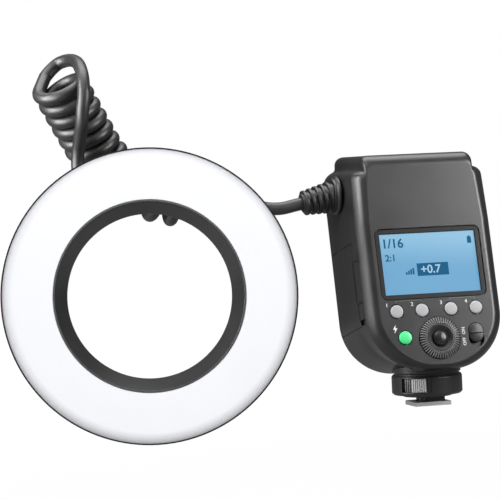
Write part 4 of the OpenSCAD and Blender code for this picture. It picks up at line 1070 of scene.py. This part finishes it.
def make_glands():
    flange = [(ON_AXIS, -3), (5, -3), (5, 0), (9.8, 0), (9.8, 1), (9, 2), (8.8, 2), (8.8, 3.2),
              (ON_AXIS, 3.2)]
    turned("unit_gland_flange", rounded(flange, 0.4), GLAND_BASE @ turn(-90, "Y"), "control_unit",
           "cord_rubber", ["cable_gland"], 64)
    turned("unit_gland_sleeve", gland_profile(8.4, 6.3, GLAND_L, 6), GLAND_AXIS, "control_unit",
           "cord_rubber", sides=64, sharp=50)
    turned("head_gland_sleeve", gland_profile(6.0, 5.2, HEAD_GLAND_L, 4), HEAD_GLAND, "ring_head",
           "cord_rubber", ["head_gland"], 48, sharp=50)


make_glands()


# Ring head

HEAD_R, HEAD_H, BORE_R, LIP_R = 70.9, 24, 39.4, 45.7
RECESS_R, BARREL_R = 41.4, 43
RING_SIDES = 256


def make_diffuser():
    outer, seat_z, wall, round_r = HEAD_R - 0.9, 14, 2, 5.5
    arc = [(outer - round_r + round_r * math.cos(a), HEAD_H - round_r + round_r * math.sin(a))
           for a in np.radians(np.linspace(0, 90, 14))]
    lip = [(LIP_R + 0.3, HEAD_H), (LIP_R + 0.1, HEAD_H - 0.2), (LIP_R + 0.1, HEAD_H - wall)]
    inside = [(outer - round_r, HEAD_H - wall), (outer - wall, HEAD_H - round_r)]
    profile = [(outer - wall, seat_z), (outer, seat_z)] + arc + lip + inside
    turned("white_diffuser", profile, HEAD, "ring_head", "diffuser_white", ["front_diffuser"], RING_SIDES,
           closed=True)


def make_barrel():
    profile = [(RECESS_R, 0), (RECESS_R, 6.6), (BORE_R, 6.6), (BORE_R, 9.2), (LIP_R - 1.1, HEAD_H - 0.3),
               (LIP_R - 0.8, HEAD_H), (LIP_R, HEAD_H), (LIP_R, 22), (LIP_R + 1.8, 22), (LIP_R + 1.8, 20.4),
               (LIP_R - 0.4, 20.4), (BARREL_R, 8.1), (BARREL_R, 3.2), (BARREL_R + 3, 3.2),
               (BARREL_R + 3, 2), (BARREL_R, 2), (BARREL_R, 0)]
    shape = rounded(profile, [0.3, 0, 0.3, 1.5] + [0] * 13, closed=True)
    slot = box((RECESS_R - 1, BARREL_R + 1), (-6.25, 6.25), (3.3, 5.3))
    cuts = [(CUT, slot, HEAD @ turn(side, "Z")) for side in (0, 180)]
    mesh = carve(build_mesh("lens_barrel", *lathe(shape, RING_SIDES, closed=True), HEAD), cuts)
    add_piece("lens_barrel", mesh, "ring_head", "black_plastic", ["inner_barrel"])


make_diffuser()
make_barrel()


# Marks printed on the face and shown on the screen

INK_DEPTH, GLASS_Z = 0.03, -1.97


def flat_text(words, size, place, bold):
    curve = bpy.data.curves.new("words", "FONT")
    curve.body = words
    curve.size = size
    curve.align_x = "LEFT"
    curve.align_y = "CENTER"
    curve.extrude = INK_DEPTH
    curve.offset = bold
    mesh = plain_mesh(add_object("words", curve))
    mesh.transform(Matrix.Scale(MM, 4) @ place)
    return mesh


def flat_shape(outline, place):
    return build_mesh("mark", *prism(outline, 0, INK_DEPTH), place)


def rect(w, h, x=0, y=0):
    return [(x - w / 2, y - h / 2), (x + w / 2, y - h / 2), (x + w / 2, y + h / 2), (x - w / 2, y + h / 2)]


def add_marks(name, meshes, ink):
    add_piece(name, join_meshes(name, meshes), "control_unit", finish=ink)


def make_screen_marks():
    glass = on_face(0, PANE_S) @ shift(0, 0, GLASS_Z)
    bar_heights = (1.2, 1.9, 2.6, 3.2)
    navy = [flat_text("1/16", 6.4, glass @ shift(-23.7, 10.6, 0), 0.13),
            flat_text("2:1", 4.6, glass @ shift(-22.6, 3.4, 0), 0.1),
            flat_shape(rect(16.4, 6.4, 1.4, -3.0), glass),
            flat_shape(rect(2.1, 3.2, 22.1, 10.8), glass),
            flat_shape(rect(1.0, 0.6, 22.1, 12.7), glass)]
    navy += [flat_shape(rect(0.9, h, -12.4 + 1.2 * i, -5.2 + h / 2), glass)
             for i, h in enumerate(bar_heights)]
    add_marks("screen_digits", navy, INK_NAVY)
    pale = [flat_text("+0.7", 5.8, glass @ shift(-5.0, -3.1, INK_DEPTH), 0.1)]
    add_marks("screen_digits_pale", pale, INK_PALE)


def make_face_marks():
    bolt = [(0.35, 1.7), (-0.95, -0.15), (-0.1, -0.15), (-0.45, -1.7), (0.95, 0.35), (0.1, 0.35)]
    marks = [flat_shape([(1.25 * x, 1.25 * y) for x, y in bolt], on_face(-22.4, 20.6)),
             flat_text("ON", 2.3, on_face(12.6, 16.0) @ turn(90, "Z"), 0.03),
             flat_text("OFF", 2.3, on_face(12.6, 10.4) @ turn(90, "Z"), 0.03)]
    marks += [flat_text(str(i + 1), 2.5, on_face(x - 5.4, s + 3.4), 0.03)
              for i, (x, s) in enumerate(list(BUTTONS.values())[:4])]
    add_marks("face_marks", marks, INK_WHITE)
    lines = []
    for x in (-14, 14):
        lines.append(flat_shape(rect(13, 0.16, x, 34.5), on_face(0, 0)))
        lines += [flat_shape(rect(0.16, 0.9, x + side * 6.5, 34.0), on_face(0, 0)) for side in (-1, 1)]
    add_marks("face_lines", lines, INK_GREY)


make_screen_marks()
make_face_marks()


# Studio: surroundings and a floor that look white to the camera, and soft lamps for groups of pieces

# Each lamp: its way from the object, distance in metres, width and height, power, what it lights
LAMPS = (("key", (0.68, -0.62, 0.4), 0.56, (0.2, 0.3), 3.1, "unit"),
         ("ring", (-0.2, -0.92, 0.34), 1.6, (1.2, 0.9), 20.5, "ring"),
         ("crown", (0.05, 0.2, 0.98), 1.1, (1.2, 0.8), 17, "unit"),
         ("left", (-0.94, -0.04, 0.33), 0.9, (0.2, 0.8), 15, "unit"),
         ("cord", (-0.9, -0.42, 0.05), 1.0, (0.6, 0.7), 15, "cord"),
         ("fill", (-0.25, -0.5, 0.83), 1.5, (1.2, 0.8), 7, "all"))
LAMP_AIM = Vector((-0.07, 0, 0.07))
RING_FRONT = {"white_diffuser", "lens_barrel"}
RING_PIECES = RING_FRONT | {
    "head_gland_sleeve", "head_housing", "front_diffuser", "inner_barrel", "reflector_ring",
    "flash_tube_left", "flash_tube_right", "tube_caps", "trigger_coil", "lamp_board", "focus_lamps",
    "left_claw", "right_claw", "left_claw_spring", "right_claw_spring", "head_gland", "head_screws"}
FLOOR_HALF, FLOOR_Z = 3000, (-62, -60)


def make_world():
    """White to the camera, also through glass, and a dim light on the object."""
    world = bpy.data.worlds.new("studio")
    bpy.context.scene.world = world
    world.use_nodes = True
    sky = Nodes(world.node_tree)
    camera_ray = sky.node("ShaderNodeLightPath", out="Is Camera Ray")
    seen = camera_ray.math("MAXIMUM", sky.node("ShaderNodeLightPath", out="Is Transmission Ray"))
    level = sky.node("ShaderNodeMapRange", Value=seen, To_Min=0.1, To_Max=1.0)
    background = sky.tree.nodes["Background"]
    sky.feed(background.inputs["Color"], (1, 1, 1))
    sky.feed(background.inputs["Strength"], level)


def make_floor():
    """Dark grey to the lamps and nearly white to the camera, with a trace of shadow near the object."""
    side = (-FLOOR_HALF, FLOOR_HALF)
    mesh = build_mesh("floor", *box(side, side, FLOOR_Z))
    floor = add_object("floor", mesh)
    pale = Finish("pale_floor")
    away = pale.node("ShaderNodeVectorMath", {"operation": "LENGTH"}, out="Value", Vector=pale.place())
    far = pale.smooth(away, 0.25, 0.9)
    lift = 1.08 - 0.05 * far
    white = pale.node("ShaderNodeCombineColor", Red=lift, Green=lift, Blue=lift)
    glow = pale.node("ShaderNodeEmission", Color=white)
    camera_ray = pale.node("ShaderNodeLightPath", out="Is Camera Ray")
    pale.set(Base_Color=(0.16, 0.16, 0.16), Roughness=0.9)
    shadow = Socket(pale.tree, pale.shader.outputs[0])
    factor = camera_ray * (0.88 + 0.12 * far)
    blend = pale.node("ShaderNodeMixShader", numbered={0: factor, 1: shadow, 2: glow})
    pale.feed(pale.tree.nodes["Material Output"].inputs["Surface"], blend)
    mesh.materials.append(pale.material)


def piece_collection(name, pieces):
    collection = bpy.data.collections.new(name)
    for piece in sorted(pieces):
        collection.objects.link(bpy.data.objects[piece])
    return collection


def make_lamps():
    """A lamp with a group lights its first set of pieces, and only its second set shades them."""
    meshes = {obj.name for obj in bpy.data.objects if obj.type == "MESH"}
    groups = {"ring": (RING_FRONT, RING_FRONT),
              "unit": (meshes - {"white_diffuser"}, meshes - RING_PIECES),
              "cord": ({"curly_cord"}, {"curly_cord"})}
    for name, way, distance, size, power, lit in LAMPS:
        lamp = bpy.data.lights.new(name, "AREA")
        lamp.shape = "RECTANGLE"
        lamp.size, lamp.size_y = size
        lamp.energy = power
        obj = add_object(name, lamp)
        obj.location = LAMP_AIM + Vector(way).normalized() * distance
        obj.rotation_euler = (LAMP_AIM - obj.location).to_track_quat("-Z", "Y").to_euler()
        if lit in groups:
            lit_pieces, shading_pieces = groups[lit]
            obj.light_linking.receiver_collection = piece_collection(name + "_lights", lit_pieces)
            obj.light_linking.blocker_collection = piece_collection(name + "_shaded_by", shading_pieces)


make_world()
make_floor()
make_lamps()
bpy.context.scene.view_settings.view_transform = "Standard"
